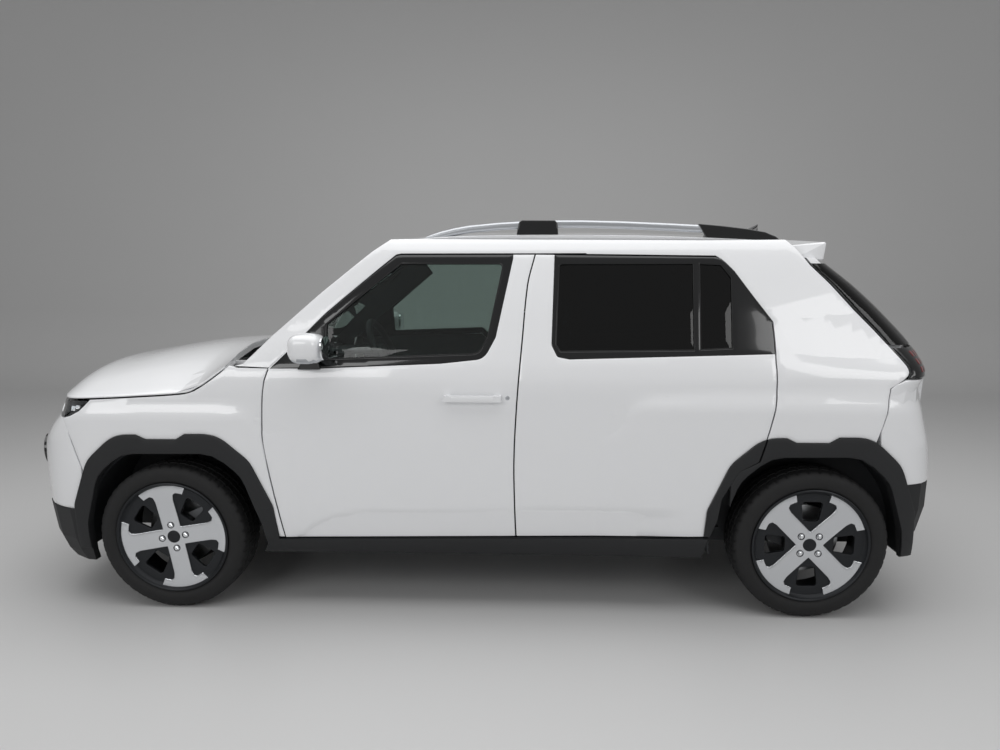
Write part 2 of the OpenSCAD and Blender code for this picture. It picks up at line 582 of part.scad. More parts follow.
module front_panel() {
  ts = [-70, -62, -48, -34, -18, 0, 18, 34, 48, 62, 70];
  zs = [panel_z[0] + seat_fit, 830, panel_z[1]];
  gz = [grille_z[0] - 5, grille_z[1] + 5];
  color(black_trim) {
    slab([for (z = zs) [for (t = ts) nose_pt(t, z, 4)]], [for (z = zs) [for (t = ts) nose_pt(t, z, 40)]]);
    intersection() {
      slab([for (z = gz) [for (t = ts) nose_pt(t, z, 10)]], [for (z = gz) [for (t = ts) nose_pt(t, z, bumper_t)]]);
      translate([xf, seat_fit - grille_w, grille_z[0] + seat_fit])
        cube([900, 2 * (grille_w - seat_fit), grille_z[1] - grille_z[0] - 2 * seat_fit]);
    }
  }
}

module front_lamps() {
  color("#dfe6ea") for (s = [-1, 1]) mirrored(s) {
    lamp_axis() translate([0, 0, -34]) cylinder(r = lamp_r - seat_fit, h = 42);
    intersection() {
      slab([for (z = [800, 830, 862]) [for (t = steps(70.4, 88, 4)) nose_pt(t, z, 3)]],
           [for (z = [800, 830, 862]) [for (t = steps(70.4, 88, 4)) nose_pt(t, z, 36)]]);
      side_cut([[xf + 300, 863], [xf + 345, 824], [xf + 395, 801], [xf + 700, 801], [xf + 700, 863]], 400);
    }
  }
}

tail_ts = [-89, -78, -64, -50, -36, -18, 0, 18, 36, 50, 64, 78, 89];
tail_low_z = 690;
tail_low_w = half_w - 245;
tail_mid_w = half_w - 135;
bumper_low = 558;
bumper_top = 935;
module rear_bumper() {
  g = shut_gap / 2;
  zs = [bumper_low, 640, 720, 800, 870, bumper_top, 968];
  color(white_paint) difference() {
    slab([for (t = tail_ts) [for (z = zs) tail_pt(t, z, 0)]], [for (t = tail_ts) [for (z = zs) tail_pt(t, z, bumper_t)]]);
    for (s = [-1, 1]) mirrored(s) {
      side_cut([[xr - 310, 980], [xr - 254 - g, 935], [xr - 244 - g, 843], [xr - 216 - g, 736], [xr - 200 - g, 640], [xr - 200 - g, 500],
        [xr - 50, 500], [xr - 50, 980]], 560);
      side_cut(rear_clad, 560);
    }
    translate([xr - 700, 0, 0]) rotate([90, 0, 90]) linear_extrude(600)
      polygon([[-tail_low_w - g, tail_low_z - g], [tail_low_w + g, tail_low_z - g], [tail_mid_w + g, 1000],
        [-tail_mid_w - g, 1000]]);
  }
}

module front_clad_skin(d0, d1) {
  side_slab(concat(steps(xf - 480, nose_start, 6), [nose_start + 60, nose_start + 110, nose_start + 155]),
            [200, 430, 600, 760], d0, d1);
}
module rear_house_space() {
  translate([xr, 500, wheel_z]) rotate([-90, 0, 0]) cylinder(r = house_r + seat_fit, h = 215 + seat_fit, $fn = 96);
}
module sill_skin(d0, d1) { side_slab(steps(xr + 330, xf - 330, 4), [210, 345], d0, d1); }
module lower_cladding() {
  apron_z = [184, 225, 285, grille_z[0] - seat_fit];
  rear_z = [262, 340, 448, bumper_low - seat_fit];
  color(black_trim) union() {
    for (s = [-1, 1]) mirrored(s) {
      difference() {
        intersection() {
          front_clad_skin(-cladding_proud, flange_t);
          side_cut(front_clad);
          side_cut([[xf - 500, 240], [xf - 500, 760], [xf + 460, 760], [xf + 460, 240]]);
        }
        side_cut(front_arch);
        side_cut(front_door_outline(-shut_gap / 2));
        side_cut([[xf - 520, door_low - 6], [xf - 463, door_low - 6], [xf - 463, 400], [xf - 520, 400]]);
      }
      difference() {
        intersection() {
          side_slab(concat(steps(xr - 480, xr - 195, 4), steps(xr - 100, xr + 330, 3)),
                    [200, 430, 600, 760], -cladding_proud, flange_t);
          side_cut(rear_clad);
          side_cut([[xr - 470, 250], [xr - 470, 760], [xr + 330, 760], [xr + 330, 250]]);
        }
        side_cut(rear_arch);
        side_cut(rear_door_outline(-shut_gap / 2));
        rear_house_space();
      }
      // Sill under the doors
      intersection() {
        sill_skin(-cladding_proud, flange_t + 6);
        side_cut([[xr + 420, 240], [xr + 400, low_z(xr + 400) - 6], [curve(mid_shut, 310), low_z(xf - 1409) - 6],
          [xf - 463, door_low - 6], [xf - 400, door_low - 6], [xf - 370, 240]]);
      }
    }
    // Front apron under the bumper
    difference() {
      slab([for (z = apron_z) [for (t = nose_ts) apron_pt(t, z, -cladding_proud, 0)]],
           [for (z = apron_z) [for (t = nose_ts) apron_pt(t, z, flange_t, bumper_t)]]);
      for (s = [-1, 1]) mirrored(s) side_cut(front_arch, 500);
      translate([xf, seat_fit - grille_w, grille_z[0] - 1]) cube([900, 2 * grille_w, 20]);
    }
    // Rear apron
    difference() {
      slab([for (t = tail_ts) [for (z = rear_z) tail_pt(t, z, 0)]],
           [for (t = tail_ts) [for (z = rear_z) tail_pt(t, z, bumper_t)]]);
      for (s = [-1, 1]) mirrored(s) {
        side_cut(rear_arch, 500);
        rear_house_space();
      }
    }
  }
}

// Tailgate with its spoiler, glass opening and number plate recess
gate_hinge_x = xr + 82;
gate_hinge_y = 250;
gate_hinge_z = lift(1492);
gate_t = 46;
module tailgate() {
  ts = [-88, -72, -52, -34, -17, 0, 17, 34, 52, 72, 88];
  up = [1092, 1195, 1317, 1405, 1425];
  low = [tail_low_z, 760, 840, 968, 972, 1096];
  g = shut_gap / 2;
  color(white_paint) difference() {
    union() {
      // Frame round the glass, set in behind it
      slab([for (t = ts) [for (z = up) tail_pt(t, z, 2 + glass_t + seat_fit)]], [for (t = ts) [for (z = up) tail_pt(t, z, gate_t)]]);
      // Lower panel
      intersection() {
        slab([for (t = ts) [for (z = low) tail_pt(t, z, z > 970 ? 28 + seat_fit : 0)]], [for (t = ts) [for (z = low) tail_pt(t, z, gate_t + 10)]]);
        end_cut([[-tail_low_w + g, tail_low_z + g], [tail_low_w - g, tail_low_z + g], [tail_mid_w - g, 980],
          [tail_mid_w - g, 1100], [-tail_mid_w + g, 1100], [-tail_mid_w + g, 980]]);
      }
      // Spoiler, its top running on from the roof
      hull() for (y = [-1, 1]) {
        translate([xr + 112, y * (half_w - 260), lift(roof_c(xr + 112) - 46)]) rotate([0, 90, 0]) cylinder(r = 6, h = 1, $fn = 12);
        translate([xr + 108, y * 300, lift(roof_c(xr + 112) - 11)]) rotate([0, 90, 0]) cylinder(r = 6, h = 1, $fn = 12);
        translate([xr - 30, y * (half_w - 245), lift(1424)]) sphere(r = 8, $fn = 8);
        translate([xr - 34, y * (half_w - 245), lift(1476)]) sphere(r = 10, $fn = 8);
        translate([xr - 66, y * 250, lift(1428)]) sphere(r = 8, $fn = 8);
        translate([xr - 66, y * 250, lift(1484)]) sphere(r = 10, $fn = 8);
        translate([xr + 70, y * (half_w - 237), lift(1424)]) sphere(r = 6, $fn = 8);
      }
    }
    // Glass opening through the frame
    end_cut(rounded([[285 - half_w, 1110, 40], [half_w - 285, 1110, 40], [half_w - 365, 1392, 30],
      [365 - half_w, 1392, 30]], 4));
    // Number plate recess
    translate([xr - 586, -270, 745]) cube([100, 540, 120]);
    // Hinge pockets and bores
    for (s = [-1, 1]) translate([gate_hinge_x, s * gate_hinge_y - 20, gate_hinge_z]) {
      translate([-9, 0, -150]) cube([80, 40, 150]);
      rotate([-90, 0, 0]) cylinder(r = pin_d / 2 + 5, h = 40);
      translate([0, 0, -9]) cube([60, 40, 18]);
      translate([0, -31, 0]) rotate([-90, 0, 0]) cylinder(r = pin_d / 2 + pin_fit, h = 102);
    }
  }
}
module gate_hinge_arms() {
  for (s = [-1, 1]) translate([gate_hinge_x, s * gate_hinge_y, gate_hinge_z]) {
    translate([0, -50, 0]) rotate([-90, 0, 0]) cylinder(r = pin_d / 2, h = 100);
    translate([0, -12, 0]) rotate([-90, 0, 0]) cylinder(r = pin_d / 2 + 3, h = 24);
    translate([-6, -12, -56]) cube([12, 24, 56]);
    translate([-6, -12, -66]) cube([100, 24, 12]);
  }
}

module tailgate_glass() {
  ts = [-89.6, -88, -72, -52, -34, -17, 0, 17, 34, 52, 72, 88, 89.6];
  zs = [1092, 1195, 1317, 1405];
  color(dark_glass) slab([for (t = ts) [for (z = zs) tail_pt(t, z, 2)]],
    [for (t = ts) [for (z = zs) tail_pt(t, z, 2 + glass_t)]]);
}

module tail_lamps() {
  ts = [-89.6, -88, -72, -52, -34, -17, 0, 17, 34, 52, 72, 88, 89.6];
  zs = [974, 996, 1010, 1040, 1084, 1086];
  color("#7d1a1d") slab([for (t = ts) [for (z = zs) tail_pt(t, z, 2)]],
    [for (t = ts) [for (z = zs) tail_pt(t, z, 28)]]);
}

// Cowl from the top of the firewall to the lower edge of the windshield, and the wipers
module cowl() {
  ys = steps(-600, 600, 8);
  function sx(y) = screen_x(y, 1022);
  top = [for (y = ys) [[xf - 394, y, 980], [sx(y) - 20, y, 982], [sx(y) - 14, y, 1021], [sx(y) + 30, y, 1003], [sx(y) + 75, y, 984]]];
  low = [for (y = ys) [[xf - 394, y, 968 + seat_fit], [sx(y) - 6, y, 970], [sx(y) - 2, y, 1006], [sx(y) + 24, y, 992], [sx(y) + 66, y, 974]]];
  color(black_trim) {
    difference() {
      slab(top, low);
      for (s = [-1, 1]) mirrored(s) translate([xf - 368, 537, 979]) cube([200, 96, 80]);
    }
    for (w = [[420, 250, 60], [-60, -210, -360]], k = [0, 1])
      hull() {
        translate([screen_x(w[k], 1022 + 30 * k) + 25 - 8 * k, w[k], lift(1009 + 40 * k)]) sphere(r = 8 - 2 * k, $fn = 8);
        translate([screen_x(w[k + 1], 1053 + 22 * k) + 16, w[k + 1], lift(1049 + 23 * k)]) sphere(r = 6 - k, $fn = 8);
      }
  }
}

// Rails, feet and the block between them
rail_y = half_w - 265;
function rail_base(x) = lift(roof_z(x, rail_y));
module roof_rails() {
  path = [[xf - 1090, 1524], [xf - 1180, 1544], [xf - 1337, 1560], [xf - 1497, 1569], [xr + 764, 1567], [xr + 448, 1552], [xr + 250, 1537]];
  color(silver) for (s = [-1, 1]) difference() {
    union() {
    for (k = [0 : len(path) - 2]) hull() for (p = [path[k], path[k + 1]])
      translate([p[0], s * rail_y, lift(p[1])]) rotate([0, 90, 0]) cylinder(r = 13, h = 1, center = true, $fn = 8);
    translate([xf - 1562, s * rail_y - 20, rail_base(xf - 1500) - 5]) cube([150, 40, lift(1575) - rail_base(xf - 1500)]);
    hull() {
      translate([xr + 250, s * rail_y - 18, rail_base(xr + 250) - 5]) cube([200, 36, 35]);
      translate([xr + 135, s * rail_y - 16, rail_base(xr + 250) - 14]) cube([20, 32, 6]);
    }
    translate([xf - 1110, s * rail_y - 14, rail_base(xf - 1100) - 5]) cube([60, 28, 26]);
    }
    roof_skin(seat_fit, seat_fit);
  }
}
module roof_antenna() {
  color(black_trim) difference() {
    hull() {
      translate([xr + 145, -16, lift(roof_c(xr + 145)) - 8]) cube([4, 32, 11]);
      translate([xr + 285, -3, lift(roof_c(xr + 285)) - 8]) cube([4, 6, 11]);
      translate([xr + 118, -3, roof_h + 44]) cube([22, 6, 10]);
    }
    roof_skin(seat_fit, seat_fit);
  }
}

module dashboard() {
  color(black_trim) {
    hull() {
      translate([xf - 470, 195 - half_w, 945]) cube([75 - seat_fit, body_w - 390, 20]);
      translate([xf - 640, 205 - half_w, 930]) cube([60, body_w - 410, 40]);
      translate([xf - 600, 205 - half_w, 760]) cube([205 - seat_fit, body_w - 410, 40]);
    }
    translate([xf - 700, -90, floor_z + seat_fit]) cube([305 - seat_fit, 180, 460]);
    // Steering column
    translate([steer_x, steer_y, steer_z]) rotate([0, 90 + steer_tilt, 0]) translate([0, 0, 30 + seat_fit])
      cylinder(r = 26, h = 190);
  }
}
steer_x = xf - 830;
steer_y = 360;
steer_z = 1005;
steer_tilt = 24;
module steering_wheel() {
  color(black_trim) translate([steer_x, steer_y, steer_z]) rotate([0, 90 + steer_tilt, 0]) {
    rotate_extrude() translate([steering_d / 2 - 14, 0]) circle(r = 14, $fn = 24);
    cylinder(r = 60, h = 30);
    for (a = [0, 150, 210]) rotate(a) translate([40, -16, 2]) cube([steering_d / 2 - 60, 32, 18]);
  }
}

module seat(w) {
  hull() {
    for (x = [0, 470], y = [-w / 2 + 30, w / 2 - 30]) translate([x, y, 40]) sphere(r = 30, $fn = 10);
    for (x = [0, 470], y = [-w / 2 + 30, w / 2 - 30]) translate([x, y, 90]) sphere(r = 30, $fn = 10);
  }
}
module seat_back(w, h) {
  hull() for (y = [-w / 2 + 40, w / 2 - 40]) {
    translate([0, y, 60]) sphere(r = 45, $fn = 12);
    translate([-h * 0.36, y * 0.85, h]) sphere(r = 36, $fn = 12);
  }
}
module front_seats() {
  color("#3a3c40") for (s = [-1, 1]) translate([xf - 1370, s * seat_y, seat_z - 130]) {
    seat(500);
    translate([-60, 0, 60]) seat_back(500, 560);
    translate([-290, 0, 690]) hull() for (y = [-80, 80]) translate([0, y, 0]) sphere(r = 45, $fn = 12);
    for (y = [-200, 160]) translate([-20, y, floor_z - seat_z + 130 + seat_fit]) cube([480, 40, seat_z - floor_z - 100]);
  }
}
module rear_seat() {
  color("#3a3c40") translate([xr + 400, 0, 470]) {
    seat(1180);
    translate([0, -540, floor_z - 470 + seat_fit]) cube([460, 1080, 470 - floor_z + 30]);
    translate([-40, 0, 60]) seat_back(1060, 520);
  }
}

house_r = 396;
house_t = 8;
module wheel_house(x, y0, y1) {
  translate([x, y0, wheel_z]) rotate([-90, 0, 0]) difference() {
    cylinder(r = house_r, h = y1 - y0);
    translate([0, 0, house_t]) cylinder(r = house_r - house_t, h = y1 - y0);
    translate([-500, 60, -10]) cube([1000, 500, 600]);
    translate([0, 0, -10]) cylinder(r = 72, h = 40);
  }
}
boot_half_w = track / 2 - 147;
module floor_pan() {
  color("#4a4c50") {
    translate([xr + 330, -floor_half_w, floor_z - 12]) cube([wheelbase - 330 - 380, 2 * floor_half_w, 12]);
    translate([xf - 395, -floor_half_w + 20, floor_z - 12]) cube([15, 2 * floor_half_w - 40, 650]);
    translate([xr + 330, -floor_half_w + 20, floor_z - 12]) cube([12, 2 * floor_half_w - 40, 110]);
    translate([xr - 440, -boot_half_w, 416]) cube([782, 2 * boot_half_w, 12]);
    translate([xr - 446, -boot_half_w, 416]) cube([20, 2 * boot_half_w, 260]);
    for (s = [-1, 1]) mirrored(s) {
      difference() {
        union() {
          wheel_house(xf - 5, track / 2 - 286, half_w - 96);
          on_king(1) translate([0, 0, 528]) cylinder(r = 78, h = 72);
        }
        on_king(1) translate([0, 0, 380]) cylinder(r = 68, h = strut_top - 380 + seat_fit);
      }
      wheel_house(xr, boot_half_w - 3, half_w - 90);
      // Front longitudinal rails
      translate([xf - 385, 340, 470]) cube([985, 66, 100]);
    }
    // Bumper beams
    slab([for (z = [560, 640]) [for (t = steps(-40, 40, 8)) nose_pt(t, z, bumper_t + 6)]],
         [for (z = [560, 640]) [for (t = steps(-40, 40, 8)) nose_pt(t, z, bumper_t + 60)]]);
    slab([for (t = steps(-40, 40, 8)) [for (z = [570, 650]) tail_pt(t, z, bumper_t + 6)]],
         [for (t = steps(-40, 40, 8)) [for (z = [570, 650]) tail_pt(t, z, bumper_t + 60)]]);
  }
}

module battery_pack() {
  color("#6c7076") translate([xr + 420, -520, floor_z - 12 - seat_fit - battery_t]) cube([wheelbase - 420 - 480, 1040, battery_t]);
}
module drive_motor() {
  color("#8d9196") {
    translate([xf, -250, 380 + seat_fit]) rotate([-90, 0, 0]) cylinder(r = 130, h = 300);
    translate([xf - 120, -130, 420]) cube([260, 420, 220]);
    // Drive shafts
    translate([xf, -track / 2 + 102, wheel_z]) rotate([-90, 0, 0]) cylinder(r = 14, h = track - 204);
  }
}

king_top = [0, track / 2 - 150, 612];
king_low = [0, track / 2 - 40, 180];
king_tilt = atan((king_low[1] - king_top[1]) / (king_top[2] - king_low[2]));
module on_king(side) { translate([xf, side * king_low[1], king_low[2]]) rotate([side * king_tilt, 0, 0]) children(); }
king_pin_r = 10;
module front_subframe() {
  color("#3c3e41") {
    translate([xf - 180, -330, 190]) cube([320, 660, 60]);
    for (s = [-1, 1]) {
      hull() {
        translate([xf, s * (king_low[1] - 5), 150]) cylinder(r = 22, h = 22, $fn = 32);
        translate([xf + 40, s * 360, 190]) cylinder(r = 30, h = 40, $fn = 32);
        translate([xf - 140, s * 360, 190]) cylinder(r = 30, h = 40, $fn = 32);
      }
      on_king(s) translate([0, 0, -18]) cylinder(r = king_pin_r, h = 50);
    }
  }
}
strut_top = 580;
module front_struts() {
  color("#55585c") for (s = [-1, 1]) on_king(s) {
    translate([0, 0, 280]) cylinder(r = king_pin_r, h = 60);
    translate([0, 0, 335]) cylinder(r = 24, h = 160);
    translate([0, 0, 445]) cylinder(r = 62, h = 10);
    translate([0, 0, 455]) cylinder(r = 52, h = strut_top - 455);
  }
}
hub_r = 22;
disc_out = 0;
module knuckle(side) {
  color("#606368") difference() {
    union() {
      on_king(side) {
        translate([0, 0, 8]) cylinder(r = king_pin_r + 12, h = 40);
        translate([0, 0, 275]) cylinder(r = king_pin_r + 12, h = 40);
      }
      hull() {
        translate([xf, side * (track / 2 - 64), wheel_z]) rotate([90, 0, 0]) cylinder(r = 50, h = 24, center = true, $fn = 32);
        on_king(side) translate([0, 0, 34]) cylinder(r = king_pin_r + 8, h = 10, $fn = 32);
      }
      hull() {
        translate([xf, side * (track / 2 - 70), wheel_z + 20]) rotate([90, 0, 0]) cylinder(r = 30, h = 18, center = true, $fn = 32);
        on_king(side) translate([0, 0, 280]) cylinder(r = king_pin_r + 8, h = 10, $fn = 32);
      }
      translate([xf, side * (track / 2 - 60), wheel_z]) rotate([-90 * side, 0, 0]) cylinder(r = hub_r, h = 72);
      // Bracket and brake caliper astride the disc
      translate([xf, side * (track / 2 - 49), wheel_z]) rotate([90, 0, 0]) rotate(-25) translate([-125, -25, -20])
        cube([125, 50, 40]);
      difference() {
        translate([xf, side * (track / 2 + disc_out), wheel_z]) rotate([90, 0, 0]) intersection() {
          difference() { cylinder(r = disc_d / 2 + 20, h = 64, center = true); cylinder(r = disc_d / 2 - 42, h = 70, center = true); }
          rotate(-25) translate([-300, -60, -50]) cube([300, 120, 100]);
        }
        translate([xf, side * (track / 2 + disc_out), wheel_z]) rotate([90, 0, 0]) cylinder(r = disc_d / 2 + 6, h = 34, center = true);
      }
    }
    on_king(side) {
      translate([0, 0, -10]) cylinder(r = king_pin_r + pin_fit, h = 43);
      translate([0, 0, 270]) cylinder(r = king_pin_r + pin_fit, h = 60);
    }
  }
}

module tyre(x, s) {
  r = tyre_d / 2;
  b = rim_d / 2;
  w = tyre_w / 2;
  color(rubber) translate([x, s * track / 2, wheel_z]) rotate([90, 0, 0]) rotate_extrude($fn = 64)
    polygon(concat([[b - 16, -w + 22], [b + 2, -w + 6], [b + 22, -w]], [for (a = [-60, -30]) [r - 26 + 26 * sin(90 + a), -w + 26 * (1 - cos(90 + a)) ]],
      [[r - 4, -w + 26], [r, 0], [r - 4, w - 26], [r - 14, w - 8], [b + 22, w], [b + 2, w - 6], [b - 16, w - 22]]));
}
module wheel(x, s, turn) {
  b = rim_d / 2;
  w = tyre_w / 2;
  color(silver) translate([x, s * track / 2, wheel_z]) rotate([-90 * s, 0, 0]) {
    rotate_extrude($fn = 64) polygon([[b - 16.3, -w + 24], [b - 16.3, w - 21.7], [b - 2, w - 9], [b - 8, w - 4], [b - 26, w - 20], [b - 26, -w + 24]]);
    difference() {
      translate([0, 0, w - 62]) cylinder(r = 78, h = 40);
      translate([0, 0, -w]) cylinder(r = hub_r + pin_fit, h = 2 * w - 40);
    }
    // Four cross spokes, flaring where they meet the rim
    intersection() {
      for (a = [0 : 90 : 270]) rotate(turn + a) translate([0, 0, w - 46]) linear_extrude(28) {
        translate([0, -spoke_w / 2]) square([b - 20, spoke_w]);
        polygon([[186, -92], [226, -98], [226, 98], [186, 92]]);
      }
      translate([0, 0, w - 60]) cylinder(r = b - 20, h = 60);
    }
    // Brake disc and its hat
    difference() {
      translate([0, 0, disc_out - 11]) cylinder(r = disc_d / 2, h = 22);
      translate([0, 0, disc_out - 18]) cylinder(r = disc_d / 2 - 54, h = 22);
      translate([0, 0, -40]) cylinder(r = hub_r + pin_fit, h = 60);
    }
    difference() {
      translate([0, 0, disc_out - 2]) cylinder(r = 78, h = w - 30 - disc_out);
      translate([0, 0, -40]) cylinder(r = hub_r + pin_fit, h = 200);
    }
  }
}

module rear_axle() {
  color("#3c3e41") {
    translate([xr + 120, 170 - track / 2, 300]) rotate([-90, 0, 0]) cylinder(r = 42, h = track - 340);
    for (s = [-1, 1]) mirrored(s) {
      translate([xr - 60, track / 2 - 220, 250]) cube([390 - seat_fit, 50, 85]);
      translate([xr, track / 2 - 170, wheel_z]) rotate([-90, 0, 0]) cylinder(r = 60, h = 100);
      translate([xr, track / 2 - 170, wheel_z]) rotate([-90, 0, 0]) cylinder(r = hub_r, h = 180);
      translate([xr + 100, track / 2 - 220, 320]) cylinder(r = 55, h = 96 - seat_fit);
      translate([xr, track / 2 - 60, wheel_z]) rotate([90, 0, 0]) rotate(25) translate([0, -25, -32]) cube([125, 50, 64]);
      difference() {
        translate([xr, track / 2 + disc_out, wheel_z]) rotate([90, 0, 0]) intersection() {
          difference() { cylinder(r = disc_d / 2 + 20, h = 64, center = true); cylinder(r = disc_d / 2 - 42, h = 70, center = true); }
          rotate(25) translate([0, -60, -50]) cube([300, 120, 100]);
        }
        translate([xr, track / 2 + disc_out, wheel_z]) rotate([90, 0, 0]) cylinder(r = disc_d / 2 + 6, h = 34, center = true);
      }
    }
  }
}

module mirror_pod(side) {
  color(white_paint) mirrored(side) difference() {
    hull() {
      translate([xf - 573, half_w - 55, lift(1036)]) sphere(r = 22, $fn = 10);
      translate([xf - 668, half_w - 30, lift(1052)]) sphere(r = 24, $fn = 10);
      translate([xf - 578, half_w + 55, lift(1060)]) sphere(r = 30, $fn = 10);
      translate([xf - 668, half_w + 90, lift(1070)]) sphere(r = 30, $fn = 10);
      translate([xf - 588, half_w - 5, lift(1120)]) sphere(r = 24, $fn = 10);
      translate([xf - 668, half_w + 80, lift(1125)]) sphere(r = 24, $fn = 10);
      translate([xf - 668, half_w - 15, lift(1125)]) sphere(r = 24, $fn = 10);
    }
    side_slab(steps(xf - 1410, xf - 430, 5), [985, 1040, 1130, 1230, 1330, 1450], 1 - seat_fit, 200);
  }
}

body_side(1);  // body_side_left
body_side(-1);  // body_side_right
roof_panel();
floor_pan();
front_fender(1);  // front_fender_left
front_fender(-1);  // front_fender_right
front_bumper();
front_panel();
front_lamps();
rear_bumper();
lower_cladding();
windshield();
cowl();
roof_rails();
roof_antenna();
dashboard();
front_seats();
rear_seat();
battery_pack();
drive_motor();
front_subframe();
front_struts();
rear_axle();
hood();
tailgate();
tailgate_glass();
tail_lamps();
front_door(1);  // front_door_left
front_door(-1);  // front_door_right
front_door_frame(1);  // front_door_frame_left
front_door_frame(-1);  // front_door_frame_right
front_door_glass(1);  // front_door_glass_left
front_door_glass(-1);  // front_door_glass_right
mirror_pod(1);  // mirror_left
mirror_pod(-1);  // mirror_right
rear_door(1);  // rear_door_left
rear_door(-1);  // rear_door_right
rear_door_frame(1);  // rear_door_frame_left
rear_door_frame(-1);  // rear_door_frame_right
rear_door_glass(1);  // rear_door_glass_left
rear_door_glass(-1);  // rear_door_glass_right
tyre(xf, 1);  // tyre_front_left
tyre(xf, -1);  // tyre_front_right
tyre(xr, 1);  // tyre_rear_left
tyre(xr, -1);  // tyre_rear_right
wheel(xf, 1, front_wheel_turn);  // wheel_front_left
wheel(xf, -1, front_wheel_turn);  // wheel_front_right
wheel(xr, 1, rear_wheel_turn);  // wheel_rear_left
wheel(xr, -1, rear_wheel_turn);  // wheel_rear_right
knuckle(1);  // knuckle_left
knuckle(-1);  // knuckle_right
steering_wheel();
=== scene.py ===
# %% [markdown]
# # Electric city car
# A white five-door electric city car with black claddings, seen from its left side.
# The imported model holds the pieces, bodies and joints, and this script gives them their surfaces.

# %% Load the frame
import math
import json

import bmesh
import bpy
from mathutils import Matrix, Vector, geometry

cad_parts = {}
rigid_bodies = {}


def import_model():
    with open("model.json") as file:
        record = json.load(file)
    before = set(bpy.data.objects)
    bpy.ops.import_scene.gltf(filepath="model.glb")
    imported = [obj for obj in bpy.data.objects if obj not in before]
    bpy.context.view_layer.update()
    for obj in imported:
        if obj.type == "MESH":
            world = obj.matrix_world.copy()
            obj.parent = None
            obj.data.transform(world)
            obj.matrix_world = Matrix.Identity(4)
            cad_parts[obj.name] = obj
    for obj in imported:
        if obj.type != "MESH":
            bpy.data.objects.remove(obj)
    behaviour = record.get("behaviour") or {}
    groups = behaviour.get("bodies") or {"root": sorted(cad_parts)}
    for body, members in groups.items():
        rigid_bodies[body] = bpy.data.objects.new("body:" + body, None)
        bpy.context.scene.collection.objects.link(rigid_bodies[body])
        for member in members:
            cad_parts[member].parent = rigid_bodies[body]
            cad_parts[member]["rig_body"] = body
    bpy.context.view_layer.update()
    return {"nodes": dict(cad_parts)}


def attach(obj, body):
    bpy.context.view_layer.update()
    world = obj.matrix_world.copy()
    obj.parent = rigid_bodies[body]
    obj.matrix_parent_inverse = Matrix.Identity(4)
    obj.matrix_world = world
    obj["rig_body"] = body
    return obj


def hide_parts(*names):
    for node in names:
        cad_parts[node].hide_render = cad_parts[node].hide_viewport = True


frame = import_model()
nodes = frame["nodes"]

# %% [markdown]
# ## Sizes
# All lengths below are in millimetres. They repeat the driving dimensions of the construction.

# %% Driving dimensions
MM = 0.001
WHEELBASE, FRONT_OVERHANG, REAR_OVERHANG = 2580, 698, 547
BODY_W, ROOF_H, TRACK = 1610, 1541, 1380
TYRE_D, TYRE_W, RIM_D = 610, 205, 470
FLANGE_T, PROUD = 24, 12
LENGTH = FRONT_OVERHANG + WHEELBASE + REAR_OVERHANG
XF = LENGTH / 2 - FRONT_OVERHANG
XR = XF - WHEELBASE
WHEEL_Z = TYRE_D / 2
FLARE_H = 13
SKIN_W = BODY_W / 2 - FLARE_H - PROUD
NOSE_START, NOSE_LEN, NOSE_POW = XF + 285, FRONT_OVERHANG - 285, 2.6
TAIL_START, TAIL_LEN, TAIL_POW = XR - 195, REAR_OVERHANG - 195, 3.8


# %% [markdown]
# ## The body surface
# The same curves as in the construction, so that each skin lies where its solid is.

# %% Body surface
def curve(table, v):
    """Smooth curve through (input, output) points, level past both ends."""
    if v <= table[0][0]:
        return table[0][1]
    if v >= table[-1][0]:
        return table[-1][1]
    i = next(k for k in range(len(table) - 1) if table[k][0] <= v < table[k + 1][0])
    a, b = table[i], table[i + 1]
    h = b[0] - a[0]
    s, d = (v - a[0]) / h, (b[1] - a[1]) / h
    d0 = (a[1] - table[i - 1][1]) / (a[0] - table[i - 1][0]) if i > 0 else d
    d1 = (table[i + 2][1] - b[1]) / (table[i + 2][0] - b[0]) if i < len(table) - 2 else d
    m0 = 0 if d0 * d <= 0 else 2 * d0 * d / (d0 + d)
    m1 = 0 if d1 * d <= 0 else 2 * d1 * d / (d1 + d)
    return (a[1] * (2 * s**3 - 3 * s**2 + 1) + m0 * h * (s**3 - 2 * s**2 + s)
            + b[1] * (3 * s**2 - 2 * s**3) + m1 * h * (s**3 - s**2))


def clamp01(v):
    return max(0.0, min(1.0, v))


def ramp(a, b, v):
    t = clamp01((v - a) / (b - a))
    return t * t * (3 - 2 * t)


def mix(a, b, t):
    return a + (b - a) * t


def steps(a, b, n):
    return [a + (b - a) * k / n for k in range(n + 1)]


SIDE_INSET = [(170, 70), (240, 44), (320, 22), (430, 11), (600, 4), (800, 0), (900, 0), (960, 3), (1000, 9),
              (1040, 20), (1130, 48), (1230, 79), (1330, 113), (1425, 148), (1470, 168), (1500, 192), (1530, 250)]


def corner(d, length, p):
    if d <= 0:
        return 1.0
    return 0.0 if d >= length else (1 - (d / length) ** p) ** (1 / p)


def plan_k(x):
    return min(corner(x - NOSE_START, NOSE_LEN, NOSE_POW), corner(TAIL_START - x, TAIL_LEN, TAIL_POW))


def flare(x, z):
    return FLARE_H * (ramp(XF - 430, XF - 230, x) * (1 - ramp(800, 870, z))
                      + (1 - ramp(XR + 600, XR + 780, x)) * (1 - ramp(845, 915, z)))


def upper_taper(x, z):
    return ramp(960, 1130, z) * (24 * clamp01((x - XF + 900) / 560) ** 2 + 46 * clamp01((XR + 440 - x) / 700) ** 2)


def side_y(x, z):
    return (SKIN_W - curve(SIDE_INSET, z) + flare(x, z)) * plan_k(x) - upper_taper(x, z)


